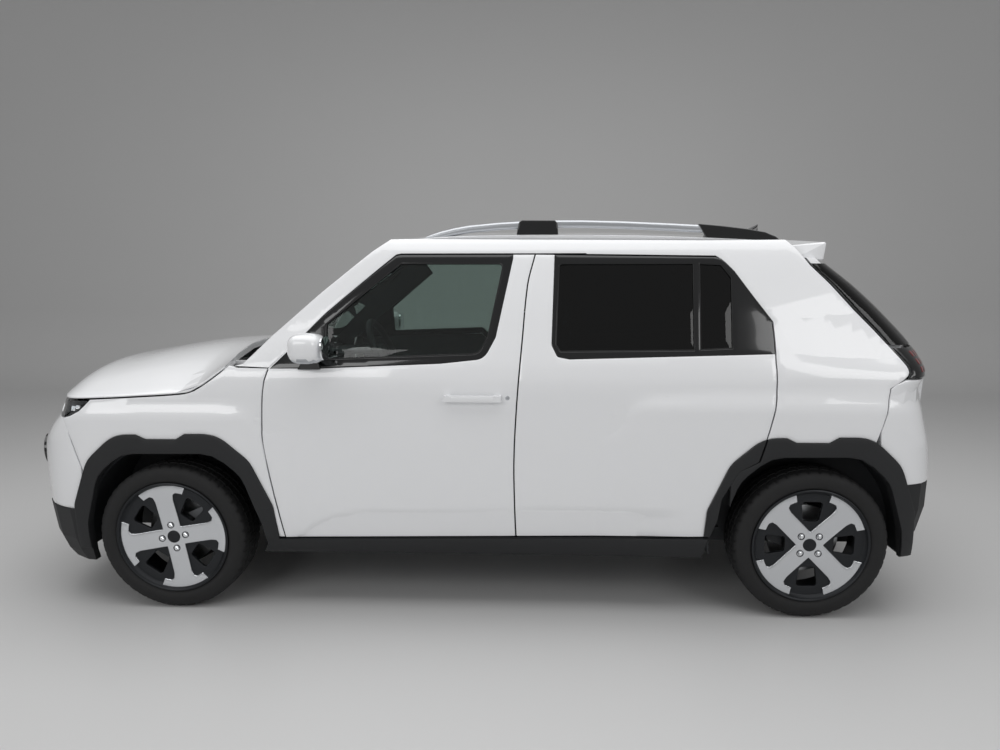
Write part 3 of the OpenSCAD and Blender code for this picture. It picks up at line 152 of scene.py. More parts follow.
ROOF_LINE = [(XR - 30, -42), (XR + 60, -34), (XR + 165, -26), (XR + 465, -11), (XR + 765, -2), (XF - 1500, 0),
             (XF - 1215, -3), (XF - 1000, -16), (XF - 885, -36)]
ROOF_EDGE = 560


def roof_c(x):
    return ROOF_H + curve(ROOF_LINE, x)


def roof_z(x, y):
    return roof_c(x) - 26 * (abs(y) / ROOF_EDGE) ** 2.4


HOOD_SIDE = [(XF - 281, 1021), (XF - 237, 985), (XF - 155, 930), (XF - 109, 909), (XF + 105, 893), (XF + 234, 886),
             (XF + 500, 876)]
HOOD_MID = [(XF - 281, 1062), (XF - 20, 1051), (XF + 150, 1033), (XF + 310, 1006), (XF + 430, 985), (XF + 490, 952),
            (XF + 515, 926), (XF + 531, 879)]


def hood_z(x, u):
    return mix(curve(HOOD_SIDE, x), curve(HOOD_MID, x), 1 - abs(u) ** 2.7)


SCREEN_MID = [(1000, XF - 245), (1200, XF - 462), (1350, XF - 635), (1450, XF - 765), (1505, XF - 875)]


def screen_x(y, z):
    return curve(SCREEN_MID, z) - 78 * (abs(y) / 600) ** 2


TAIL_INSET = [(170, 120), (274, 68), (340, 30), (448, 2), (520, 0), (575, 6), (701, 22), (824, 50), (906, 62),
              (960, 66), (996, 72), (1072, 93), (1195, 196), (1317, 332), (1418, 471), (1494, 580)]
TAIL_SIDE = [(900, 195), (940, 240), (975, 312), (996, 325), (1084, 264), (1223, 134), (1324, 42), (1396, -33),
             (1450, -75), (1494, -122)]
TAIL_SHAPE = [(700, 3.8), (824, 3.4), (906, 3), (960, 2.8)]
NOSE_INSET = [(150, 140), (184, 75), (225, 35), (285, 12), (353, 4), (480, 0), (600, 4), (660, 10), (701, 26),
              (736, 52), (771, 88), (793, 118), (830, 140), (872, 162), (900, 190)]


def power(v, e):
    return math.copysign(abs(v) ** e, v)


def nose(t, z, o, side_o=None):
    """Point of the front end, t degrees round from the middle, o under the skin."""
    w = side_y(NOSE_START, z) - (o if side_o is None else side_o)
    reach = NOSE_LEN - curve(NOSE_INSET, z) - o
    a = math.radians(t)
    return (NOSE_START + reach * max(0, math.cos(a)) ** (2 / NOSE_POW), w * power(math.sin(a), 2 / NOSE_POW), z)


def nose_t(x, z):
    """The angle round the front end at which its skin passes x."""
    reach = NOSE_LEN - curve(NOSE_INSET, z)
    return math.degrees(math.acos(clamp01((x - NOSE_START) / reach) ** (NOSE_POW / 2)))


def tail(t, z, o):
    """Point of the rear end, t degrees round from the middle, o under the skin."""
    x0 = XR - curve(TAIL_SIDE, z)
    w, p = side_y(x0, z) - o, curve(TAIL_SHAPE, z)
    reach = LENGTH / 2 + x0 - curve(TAIL_INSET, z) - o
    a = math.radians(t)
    return (x0 - reach * max(0, math.cos(a)) ** (2 / p), w * power(math.sin(a), 2 / p), z)


def tail_t(y, z):
    """The angle round the rear end at which its skin passes y."""
    x0 = XR - curve(TAIL_SIDE, z)
    return math.degrees(math.asin(max(-1, min(1, power(y / side_y(x0, z), curve(TAIL_SHAPE, z) / 2)))))


print("skin at the front door:", round(side_y(XF - 900, 800)), "mm from the middle")

# %% [markdown]
# ## Mesh helpers
# A panel is an outline on a curved surface, filled with an even net, given its thickness and a rolled edge.

# %% Mesh helpers
def add_mesh(name, verts, faces, material, body, smooth=True, sharp=35):
    """A mesh object from points in millimetres. It rides on that body."""
    mesh = bpy.data.meshes.new(name)
    mesh.from_pydata([(x * MM, y * MM, z * MM) for x, y, z in verts], [], faces)
    mesh.validate()
    obj = bpy.data.objects.new(name, mesh)
    bpy.context.collection.objects.link(obj)
    tidy = bmesh.new()
    tidy.from_mesh(mesh)
    bmesh.ops.recalc_face_normals(tidy, faces=tidy.faces)
    tidy.to_mesh(mesh)
    tidy.free()
    if smooth:
        mesh.shade_smooth()
        mesh.set_sharp_from_angle(angle=math.radians(sharp))
    mesh.materials.append(material)
    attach(obj, body)
    return obj


def add_modifier(obj, kind, **values):
    modifier = obj.modifiers.new(kind.title(), kind)
    for key, value in values.items():
        setattr(modifier, key, value)
    return modifier


def dense(loop, step):
    """The same closed outline with no side longer than step."""
    points = []
    for i, a in enumerate(loop):
        b = loop[(i + 1) % len(loop)]
        n = max(1, math.ceil(math.dist(a, b) / step))
        points += [(mix(a[0], b[0], k / n), mix(a[1], b[1], k / n)) for k in range(n)]
    return points


def rounded(corners, n=5):
    """A closed outline whose corners (a, b, radius) are rounded."""
    points = []
    for i, (x, y, r) in enumerate(corners):
        if r <= 0:
            points.append((x, y))
            continue
        b = Vector((x, y))
        u = (Vector(corners[i - 1][:2]) - b).normalized()
        v = (Vector(corners[(i + 1) % len(corners)][:2]) - b).normalized()
        half = u.angle(v) / 2
        middle = b + (u + v).normalized() * r / math.sin(half)
        start, end = b + u * r / math.tan(half) - middle, b + v * r / math.tan(half) - middle
        turn = start.angle_signed(end)
        for k in range(n + 1):
            arm = start.copy()
            arm.rotate(Matrix.Rotation(-turn * k / n, 2))
            points.append(tuple(middle + arm))
    return points


def rect(a0, a1, b0, b1):
    return [(a0, b0), (a1, b0), (a1, b1), (a0, b1)]


def soft_rect(a0, a1, b0, b1, r=3, n=3):
    """A small rectangle with rounded corners."""
    return rounded([(a, b, r) for a, b in rect(a0, a1, b0, b1)], n)


def area(loop):
    return sum(a[0] * b[1] - b[0] * a[1] for a, b in zip(loop, loop[1:] + loop[:1])) / 2


def inset(loop, d):
    """The outline moved inwards by d, corner by corner."""
    sign = 1 if area(loop) > 0 else -1
    moved = []
    for i, p in enumerate(loop):
        a, b = Vector(loop[i - 1]), Vector(loop[(i + 1) % len(loop)])
        p = Vector(p)
        u, v = (p - a), (b - p)
        u = u.normalized() if u.length > 1e-6 else v.normalized()
        v = v.normalized() if v.length > 1e-6 else u
        n = Vector((-u.y - v.y, u.x + v.x))
        n = n.normalized() if n.length > 1e-6 else Vector((-u.y, u.x))
        cut = max(0.5, n.dot(Vector((-u.y, u.x))))
        moved.append(tuple(p + n * sign * d / cut))
    return moved


def inside(p, loop):
    hit = False
    for a, b in zip(loop, loop[1:] + loop[:1]):
        if (a[1] > p[1]) != (b[1] > p[1]) and p[0] < (b[0] - a[0]) * (p[1] - a[1]) / (b[1] - a[1]) + a[0]:
            hit = not hit
    return hit


def panel(name, surface, outline, material, body, holes=(), thick=3, depth=0, step=24, roll=2.2, scale=1.0):
    """A curved panel. surface(a, b, depth) gives its points, and scale is how many mm one unit of a spans."""
    loops = [dense([(a * scale, b) for a, b in loop], step * 0.6) for loop in [outline, *holes]]
    inner = [inset(loops[0], roll)] + [inset(h, -roll) for h in loops[1:]]
    middle = [inset(loops[0], roll * 0.3)] + [inset(h, -roll * 0.3) for h in loops[1:]]
    low_a, high_a = min(p[0] for p in loops[0]), max(p[0] for p in loops[0])
    low_b, high_b = min(p[1] for p in loops[0]), max(p[1] for p in loops[0])
    edge_zones = [inset(inner[0], step * 0.45)] + [inset(h, -step * 0.45) for h in inner[1:]]
    net = [(a, b)
           for a in steps(low_a, high_a, max(1, round((high_a - low_a) / step)))
           for b in steps(low_b, high_b, max(1, round((high_b - low_b) / step)))
           if inside((a, b), edge_zones[0]) and not any(inside((a, b), h) for h in edge_zones[1:])]
    flat = [p for loop in inner for p in loop] + net
    edges, start = [], 0
    for loop in inner:
        edges += [(start + k, start + (k + 1) % len(loop)) for k in range(len(loop))]
        start += len(loop)
    found = geometry.delaunay_2d_cdt([Vector(p) for p in flat], edges, [], 0, 1e-5)
    points = [tuple(p) for p in found[0]]
    where = {}
    for k, origins in enumerate(found[3]):
        for origin in origins:
            where[origin] = k
    triangles = []
    for face in found[2]:
        centre = (sum(points[k][0] for k in face) / len(face), sum(points[k][1] for k in face) / len(face))
        if inside(centre, inner[0]) and not any(inside(centre, h) for h in inner[1:]):
            triangles.append(tuple(face))
    verts = [surface(a / scale, b, depth) for a, b in points]
    n = len(verts)
    verts += [surface(a / scale, b, depth + thick) for a, b in points]
    faces = triangles + [tuple(reversed([k + n for k in f])) for f in triangles]
    start = 0
    for loop, mid in zip(loops, middle):
        count = len(loop)
        base = len(verts)
        verts += [surface(a / scale, b, depth + roll * 0.25) for a, b in mid]
        verts += [surface(a / scale, b, depth + roll) for a, b in loop]
        verts += [surface(a / scale, b, depth + max(thick, roll + 0.5)) for a, b in loop]
        for k in range(count):
            j = (k + 1) % count
            a0, a1 = where[start + k], where[start + j]
            rows = [(a0, a1), (base + k, base + j), (base + count + k, base + count + j),
                    (base + 2 * count + k, base + 2 * count + j), (a0 + n, a1 + n)]
            for (p, q), (r, s) in zip(rows, rows[1:]):
                faces.append((p, q, s, r))
        start += count
    return add_mesh(name, verts, faces, material, body, sharp=50)


def mirror_y(surface):
    def other(a, b, depth):
        x, y, z = surface(a, b, depth)
        return (x, -y, z)
    return other


def grid(name, rows, material, body, thick_rows=None, sharp=40):
    """A sheet from rows of points, closed with a second sheet of points behind it."""
    m, n = len(rows), len(rows[0])
    verts = [p for row in rows for p in row]
    faces = [(i * n + j, (i + 1) * n + j, (i + 1) * n + j + 1, i * n + j + 1)
             for i in range(m - 1) for j in range(n - 1)]
    if thick_rows:
        k = m * n
        verts += [p for row in thick_rows for p in row]
        faces += [tuple(reversed([v + k for v in f])) for f in faces]
        rim = ([j for j in range(n)] + [i * n + n - 1 for i in range(1, m)]
               + [(m - 1) * n + j for j in range(n - 2, -1, -1)] + [i * n for i in range(m - 2, 0, -1)])
        faces += [(a, b, b + k, a + k) for a, b in zip(rim, rim[1:] + rim[:1])]
    return add_mesh(name, verts, faces, material, body, sharp=sharp)


def revolve(name, profile, centre, material, body, count=96, sharp=35):
    """A closed profile of (radius, y) turned about an axis along Y."""
    verts, faces = [], []
    n = len(profile)
    for i in range(count):
        a = 2 * math.pi * i / count
        verts += [(centre[0] + r * math.cos(a), centre[1] + y, centre[2] + r * math.sin(a)) for r, y in profile]
    for i in range(count):
        j = (i + 1) % count
        faces += [(i * n + k, j * n + k, j * n + (k + 1) % n, i * n + (k + 1) % n) for k in range(n)]
    return add_mesh(name, verts, faces, material, body, sharp=sharp)


def tube(name, path, radius, material, body, sides=10):
    """A round bar along a path of points, with closed ends."""
    verts, faces = [], []
    points = [Vector(p) for p in path]
    side = None
    for i, p in enumerate(points):
        along = (points[min(i + 1, len(points) - 1)] - points[max(i - 1, 0)]).normalized()
        if side is None:
            side = along.cross(Vector((0, 0, 1)) if abs(along.z) < 0.9 else Vector((1, 0, 0))).normalized()
        side = (side - along * side.dot(along)).normalized()
        up = along.cross(side)
        r = radius[i] if isinstance(radius, (list, tuple)) else radius
        verts += [tuple(p + (side * math.cos(2 * math.pi * k / sides) + up * math.sin(2 * math.pi * k / sides)) * r)
                  for k in range(sides)]
    for i in range(len(points) - 1):
        faces += [(i * sides + k, i * sides + (k + 1) % sides, (i + 1) * sides + (k + 1) % sides, (i + 1) * sides + k)
                  for k in range(sides)]
    faces += [tuple(range(sides)), tuple(range(len(verts) - sides, len(verts)))]
    return add_mesh(name, verts, faces, material, body, sharp=60)


def block(name, corners, material, body, bevel=2.0):
    """A closed box between eight corners (four below, four above), its edges rounded."""
    faces = [(0, 1, 2, 3), (4, 5, 6, 7), (0, 1, 5, 4), (1, 2, 6, 5), (2, 3, 7, 6), (3, 0, 4, 7)]
    obj = add_mesh(name, corners, faces, material, body)
    add_modifier(obj, "BEVEL", width=bevel * MM, segments=3, limit_method="ANGLE")
    return obj


def box_corners(x0, x1, y0, y1, z0, z1):
    return [(x, y, z) for z in (z0, z1) for x, y in ((x0, y0), (x1, y0), (x1, y1), (x0, y1))]


print("helpers ready")

# %% [markdown]
# ## Materials
# Each material is named for what it is. Patterns are scaled from real millimetres.

# %% Materials
GLASS_IOR = 1.45


def srgb(code):
    """Linear colour of an sRGB hex code."""
    parts = [int(code[k:k + 2], 16) / 255 for k in (1, 3, 5)]
    return tuple(p / 12.92 if p <= 0.04045 else ((p + 0.055) / 1.055) ** 2.4 for p in parts) + (1.0,)


def node_in(tree, kind, links=None, **values):
    """Adds a shader node with its settings, and links {input: output socket}."""
    node = tree.nodes.new(kind)
    for key, value in values.items():
        if key in node.inputs.keys():
            node.inputs[key].default_value = value
        elif key.replace("_", " ") in node.inputs.keys():
            node.inputs[key.replace("_", " ")].default_value = value
        else:
            setattr(node, key, value)
    for key, socket in (links or {}).items():
        tree.links.new(socket, node.inputs[key])
    return node


def material(name, colour, roughness, metallic=0.0, bump=0.0, grain_mm=1.0, vary=0.04, vary_mm=60, **more):
    """A principled material with a fine grain and a slow change of colour and roughness over it."""
    made = bpy.data.materials.new(name)
    made.use_nodes = True
    tree = made.node_tree
    shader = tree.nodes["Principled BSDF"]
    shader.inputs["Base Color"].default_value = srgb(colour)
    shader.inputs["Metallic"].default_value = metallic
    shader.inputs["Roughness"].default_value = roughness
    for key, value in more.items():
        shader.inputs[key.replace("_", " ")].default_value = value
    place = node_in(tree, "ShaderNodeTexCoord")
    slow = node_in(tree, "ShaderNodeTexNoise", {"Vector": place.outputs["Object"]}, Scale=1 / (vary_mm * MM),
                   Detail=3)
    shift = node_in(tree, "ShaderNodeMapRange", {"Value": slow.outputs["Fac"]})
    shift.inputs["To Min"].default_value = 1 - vary
    shift.inputs["To Max"].default_value = 1 + vary
    tint = node_in(tree, "ShaderNodeMix", {"B": shift.outputs["Result"]}, data_type="RGBA", blend_type="MULTIPLY")
    tint.inputs[0].default_value = 1.0
    tint.inputs[6].default_value = srgb(colour)
    tree.links.new(shift.outputs["Result"], tint.inputs[7])
    tree.links.new(tint.outputs[2], shader.inputs["Base Color"])
    rough = node_in(tree, "ShaderNodeMath", {0: shift.outputs["Result"]}, operation="MULTIPLY")
    rough.inputs[1].default_value = roughness
    tree.links.new(rough.outputs[0], shader.inputs["Roughness"])
    if bump:
        fine = node_in(tree, "ShaderNodeTexNoise", {"Vector": place.outputs["Object"]}, Scale=1 / (grain_mm * MM),
                       Detail=2)
        relief = node_in(tree, "ShaderNodeBump", {"Height": fine.outputs["Fac"]}, Strength=bump, Distance=0.0006)
        tree.links.new(relief.outputs["Normal"], shader.inputs["Normal"])
    return made


def glass(name, colour):
    """Smooth glass that tints the light passing through it."""
    return material(name, colour, 0.0, vary=0.01, vary_mm=300, Transmission_Weight=1.0, IOR=GLASS_IOR)


PAINT = material("white_body_paint", "#f1f2f4", 0.22, bump=0.02, grain_mm=3, vary=0.006, Coat_Weight=1.0,
                 Coat_Roughness=0.03, Specular_IOR_Level=0.4)
TRIM = material("grained_black_plastic", "#1d1e20", 0.62, bump=0.35, grain_mm=1.6, vary=0.06)
GLOSS_BLACK = material("gloss_black_plastic", "#0b0c0e", 0.12, bump=0.01, grain_mm=2, vary=0.02, Coat_Weight=0.6)
RUBBER = material("tyre_rubber", "#161617", 0.72, bump=0.3, grain_mm=0.9, vary=0.1, vary_mm=25)
SEAL = material("rubber_seal", "#121314", 0.7, bump=0.2, grain_mm=1)
STEEL = material("coated_underbody_steel", "#2a2c2f", 0.6, bump=0.3, grain_mm=4, vary=0.12)
CAST = material("raw_casting", "#77797c", 0.55, metallic=0.7, bump=0.4, grain_mm=1.2, vary=0.12)
DISC = material("turned_disc_steel", "#b5b7b9", 0.32, metallic=1.0, bump=0.15, grain_mm=0.8, vary=0.08)
ALLOY = material("diamond_cut_alloy", "#d6d8db", 0.26, metallic=1.0, bump=0.06, grain_mm=0.6, vary=0.03)
POCKET = material("dark_wheel_paint", "#26282b", 0.42, metallic=0.5, bump=0.05, grain_mm=1)
SILVER = material("satin_silver_rail", "#c3c6ca", 0.34, metallic=0.9, bump=0.05, grain_mm=0.8, vary=0.03)
CHROME = material("bright_chrome", "#e6e8ea", 0.06, metallic=1.0, vary=0.01)
CABIN = material("soft_cabin_plastic", "#37393d", 0.7, bump=0.35, grain_mm=1.4, vary=0.05)
LINING = material("light_roof_lining", "#b9bab8", 0.9, bump=0.5, grain_mm=1.5, vary=0.05)
CARPET = material("dark_carpet", "#1d1e20", 0.95, bump=0.9, grain_mm=2, vary=0.2, vary_mm=8)
CLOTH = material("woven_seat_cloth", "#4b4d52", 0.88, bump=0.0, vary=0.08, vary_mm=30, Sheen_Weight=0.3)
FRONT_GLASS = glass("clear_green_glass", "#bccac5")
PRIVACY_GLASS = glass("dark_privacy_glass", "#1f2427")
LENS = glass("clear_lamp_lens", "#eef2f5")
RED_LENS = material("red_tail_lens", "#6d0b10", 0.1, vary=0.03, Coat_Weight=1.0)
PLATE = material("blank_number_plate", "#d9dadb", 0.35, vary=0.02)
CASE = material("cast_battery_case", "#5b5e62", 0.5, metallic=0.8, bump=0.3, grain_mm=3)


def weave(made, mm):
    """A woven over and under pattern with threads that many millimetres apart."""
    tree = made.node_tree
    shader = tree.nodes["Principled BSDF"]
    place = node_in(tree, "ShaderNodeTexCoord")
    waves = [node_in(tree, "ShaderNodeTexWave", {"Vector": place.outputs["Object"]}, bands_direction=axis,
                     Scale=1 / (mm * MM) / 6.2832 * 2, Distortion=0.4, Detail=1) for axis in ("X", "Y", "Z")]
    both = node_in(tree, "ShaderNodeMath", {0: waves[0].outputs["Fac"], 1: waves[1].outputs["Fac"]},
                   operation="MULTIPLY")
    all_three = node_in(tree, "ShaderNodeMath", {0: both.outputs[0], 1: waves[2].outputs["Fac"]}, operation="ADD")
    relief = node_in(tree, "ShaderNodeBump", {"Height": all_three.outputs[0]}, Strength=0.5, Distance=0.0008)
    tree.links.new(relief.outputs["Normal"], shader.inputs["Normal"])


BELT_M, INNER_M, INNER_LEAN = 0.96, 0.746, 0.31  # belt height, inner face's distance from the middle, its lean


def shell_paint():
    """White paint that gives way to cabin plastic on the faces inside the pillars and doors."""
    made = material("body_shell_paint", "#f1f2f4", 0.25, vary=0.006, Coat_Weight=1.0)
    tree = made.node_tree
    inner = node_in(tree, "ShaderNodeBsdfPrincipled", Base_Color=srgb("#303236"), Roughness=0.7)
    place = node_in(tree, "ShaderNodeTexCoord")
    split = node_in(tree, "ShaderNodeSeparateXYZ", {"Vector": place.outputs["Object"]})
    reach = node_in(tree, "ShaderNodeMath", {0: split.outputs["Y"]}, operation="ABSOLUTE")
    over = node_in(tree, "ShaderNodeMath", {0: split.outputs["Z"]}, operation="SUBTRACT")
    over.inputs[1].default_value = BELT_M
    rise = node_in(tree, "ShaderNodeMath", {0: over.outputs[0]}, operation="MAXIMUM")
    rise.inputs[1].default_value = 0
    limit = node_in(tree, "ShaderNodeMath", {0: rise.outputs[0]}, operation="MULTIPLY_ADD")
    limit.inputs[1].default_value, limit.inputs[2].default_value = -INNER_LEAN, INNER_M
    within = node_in(tree, "ShaderNodeMath", {0: reach.outputs[0], 1: limit.outputs[0]}, operation="LESS_THAN")
    both = node_in(tree, "ShaderNodeMixShader", {0: within.outputs[0], 1: tree.nodes["Principled BSDF"].outputs[0],
                                                 2: inner.outputs[0]})
    tree.links.new(both.outputs[0], tree.nodes["Material Output"].inputs["Surface"])
    return made


weave(CLOTH, 3)
SHELL = shell_paint()
print("materials:", len(bpy.data.materials))

# %% [markdown]
# ## Camera, floor and light
# The camera stands where the photograph was taken, fitted from the wheels and the shut lines.

# %% Camera and light
CAMERA_AT = (-0.293975, 3.842502, 1.379461)
CAMERA_YAW, CAMERA_PITCH, CAMERA_ROLL = 0.0432697, 0.2059051, 0.000931
FOCAL_PX, MIDDLE_X, MIDDLE_Y = 798.2466, 507.372, 436.528
WIDTH_PX, HEIGHT_PX = 1000, 750


def add_camera():
    data = bpy.data.cameras.new("photo_camera")
    cam = bpy.data.objects.new("photo_camera", data)
    bpy.context.collection.objects.link(cam)
    ahead, right, down = Vector((0, -1, 0)), Vector((-1, 0, 0)), Vector((0, 0, -1))
    f1 = math.cos(CAMERA_YAW) * ahead - math.sin(CAMERA_YAW) * right
    r1 = math.sin(CAMERA_YAW) * ahead + math.cos(CAMERA_YAW) * right
    f2 = math.cos(CAMERA_PITCH) * f1 + math.sin(CAMERA_PITCH) * down
    d2 = -math.sin(CAMERA_PITCH) * f1 + math.cos(CAMERA_PITCH) * down
    r3 = math.cos(CAMERA_ROLL) * r1 + math.sin(CAMERA_ROLL) * d2
    d3 = -math.sin(CAMERA_ROLL) * r1 + math.cos(CAMERA_ROLL) * d2
    turn = Matrix((r3, -d3, -f2)).transposed()
    cam.matrix_world = Matrix.Translation(CAMERA_AT) @ turn.to_4x4()
    data.sensor_width = 36
    data.lens = FOCAL_PX * 36 / WIDTH_PX
    data.shift_x = (WIDTH_PX / 2 - MIDDLE_X) / WIDTH_PX
    data.shift_y = (MIDDLE_Y - HEIGHT_PX / 2) / WIDTH_PX
    bpy.context.scene.camera = cam


def add_floor():
    """A wide pale floor with a low swell behind the car, where floor and backdrop meet."""
    reach, front, back, bend, top = 9000, 7000, -5200, 900, 5200
    ys = steps(front, back, 24) + [back - bend * math.sin(math.radians(a)) for a in range(15, 91, 15)]
    rows = []
    for x in steps(-reach, reach, 20):
        rows.append([(x, y, 0 if y >= back else bend * (1 - math.cos(math.asin(min(1, (back - y) / bend)))))
                     for y in ys] + [(x, back - bend, top)])
    floor = grid("studio_floor", rows, FLOOR, "body")
    floor.parent = None
    floor.matrix_world.identity()
    del floor["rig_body"]


def add_light(name, place, aim, size, power_w):
    data = bpy.data.lights.new(name, "AREA")
    data.shape, data.size, data.size_y, data.energy = "RECTANGLE", size[0], size[1], power_w
    lamp = bpy.data.objects.new(name, data)
    bpy.context.collection.objects.link(lamp)
    lamp.location = place
    lamp.rotation_euler = (Vector(aim) - Vector(place)).to_track_quat("-Z", "Y").to_euler()


FLOOR = material("pale_studio_floor", "#cdcdcd", 0.45, bump=0.02, grain_mm=20, vary=0.01, vary_mm=900)
add_camera()
add_floor()
add_light("ceiling", (0, 0.3, 4.2), (0, 0, 0), (7.0, 4.5), 150)
add_light("front_strip", (2.5, 4.6, 2.6), (0.4, 0, 0.6), (3.0, 1.6), 40)
add_light("rear_strip", (-3.6, 3.8, 2.8), (-0.6, 0, 0.7), (2.4, 1.6), 30)
WORLD_COLOUR, WORLD_STRENGTH = "#e0e0e0", 0.42
world = bpy.context.scene.world or bpy.data.worlds.new("studio")
bpy.context.scene.world = world
world.use_nodes = True
world.node_tree.nodes["Background"].inputs["Color"].default_value = srgb(WORLD_COLOUR)
world.node_tree.nodes["Background"].inputs["Strength"].default_value = WORLD_STRENGTH
bpy.context.scene.view_settings.view_transform = "Standard"
print("camera, floor and light ready")

# %% [markdown]
# ## Finish of the carried pieces
# Every construction piece that stays gets the material of its real surface.

# %% Carried pieces
def finish_node(name, made):
    obj = nodes[name]
    obj.data.materials.clear()
    obj.data.materials.append(made)
    return obj


SIDES = (("left", 1), ("right", -1))
CARRIED = {
    "floor_pan": STEEL, "front_subframe": STEEL, "front_struts": STEEL, "rear_axle": STEEL, "battery_pack": CASE,
    "drive_motor": CAST, "knuckle_left": CAST, "knuckle_right": CAST, "cowl": TRIM, "dashboard": CABIN,
    "steering_wheel": CABIN, "front_seats": CLOTH, "rear_seat": CLOTH, "roof_antenna": PAINT, "front_lamps": LENS,
    "front_panel": GLOSS_BLACK, "lower_cladding": TRIM, "roof_rails": SILVER, "tail_lamps": RED_LENS,
    "windshield": FRONT_GLASS, "tailgate_glass": PRIVACY_GLASS, "roof_panel": PAINT, "hood": PAINT, "tailgate": PAINT,
    "front_bumper": PAINT, "rear_bumper": PAINT}
for side, sign in SIDES:
    CARRIED.update({
        "body_side_" + side: SHELL, "front_fender_" + side: PAINT, "front_door_" + side: SHELL,
        "rear_door_" + side: SHELL, "mirror_" + side: PAINT, "front_door_frame_" + side: GLOSS_BLACK,
        "rear_door_frame_" + side: GLOSS_BLACK, "front_door_glass_" + side: FRONT_GLASS,
        "rear_door_glass_" + side: PRIVACY_GLASS})
    for end in ("front", "rear"):
        CARRIED["tyre_%s_%s" % (end, side)] = RUBBER
        CARRIED["wheel_%s_%s" % (end, side)] = ALLOY
for name, made in CARRIED.items():
    finish_node(name, made)
print("carried pieces:", len(CARRIED))

# %% [markdown]
# ## Wheels and tyres
# Four spokes cross at the hub and end like anchors along the rim, with dark pockets between them.

# %% Wheels and tyres
SPOKE_W, FLUKE_DEG, FLUKE_IN, FACE_R = 76, 26, 188, 219
POCKET_HOLE, POCKET_AT = 84, 134
NUT_PCD, CAP_R = 100, 27
FACE_DEEP, FACE_DOME = 14, 9
TYRE_STEPS = 264
DISC_R, DISC_IN = 140, 86
W2 = TYRE_W / 2


def tyre_profile():
    """(radius, y, groove) round the tyre's section; groove marks what the cross cuts lower."""
    r, b = TYRE_D / 2, RIM_D / 2
    inner = [(b - 16, -W2 + 24, 0), (b + 2, -W2 + 8, 0), (b + 10, -W2 + 3, 0), (b + 24, -W2, 0), (b + 42, -W2 + 1, 0),
             (r - 16, -W2 + 6, 0), (r - 9, -W2 + 11, 2), (r - 4, -W2 + 19, 6)]
    tread = []
    for y0, y1 in ((-80, -47), (-39, -5), (5, 39), (47, 80)):
        for y in (y0, y1):
            tread.append((r - 0.00045 * y * y, y, 5))
        if y1 < 80:
            tread += [(r - 7.5, y1 + 1, 0), (r - 7.5, y1 + 7, 0)]
    outer = [(a, -y, g) for a, y, g in reversed(inner)]
    inside_wall = [(b - 12, W2 - 30, 0), (b - 12, -W2 + 30, 0)]
    return inner + tread + outer + inside_wall


def tyre(x, side, sign, end):
    profile = tyre_profile()
    n, count = len(profile), TYRE_STEPS
    verts, faces = [], []
    for i in range(count):
        a = 2 * math.pi * i / count
        for r, y, groove in profile:
            lag = round(y / 22)
            cut = groove if (i + lag) % 6 == 0 else 0
            verts.append((x + (r - cut) * math.cos(a), sign * (TRACK / 2 + y), WHEEL_Z + (r - cut) * math.sin(a)))
    for i in range(count):
        j = (i + 1) % count
        faces += [(i * n + k, j * n + k, j * n + (k + 1) % n, i * n + (k + 1) % n) for k in range(n)]
    body = "%s_wheel_%s" % (end, side)
    made = add_mesh("tyre_%s_%s_tread" % (end, side), verts, faces, RUBBER, body, sharp=38)
    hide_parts("tyre_%s_%s" % (end, side))


def arc(radius, degrees):
    return [(radius * math.cos(math.radians(d)), radius * math.sin(math.radians(d))) for d in degrees]


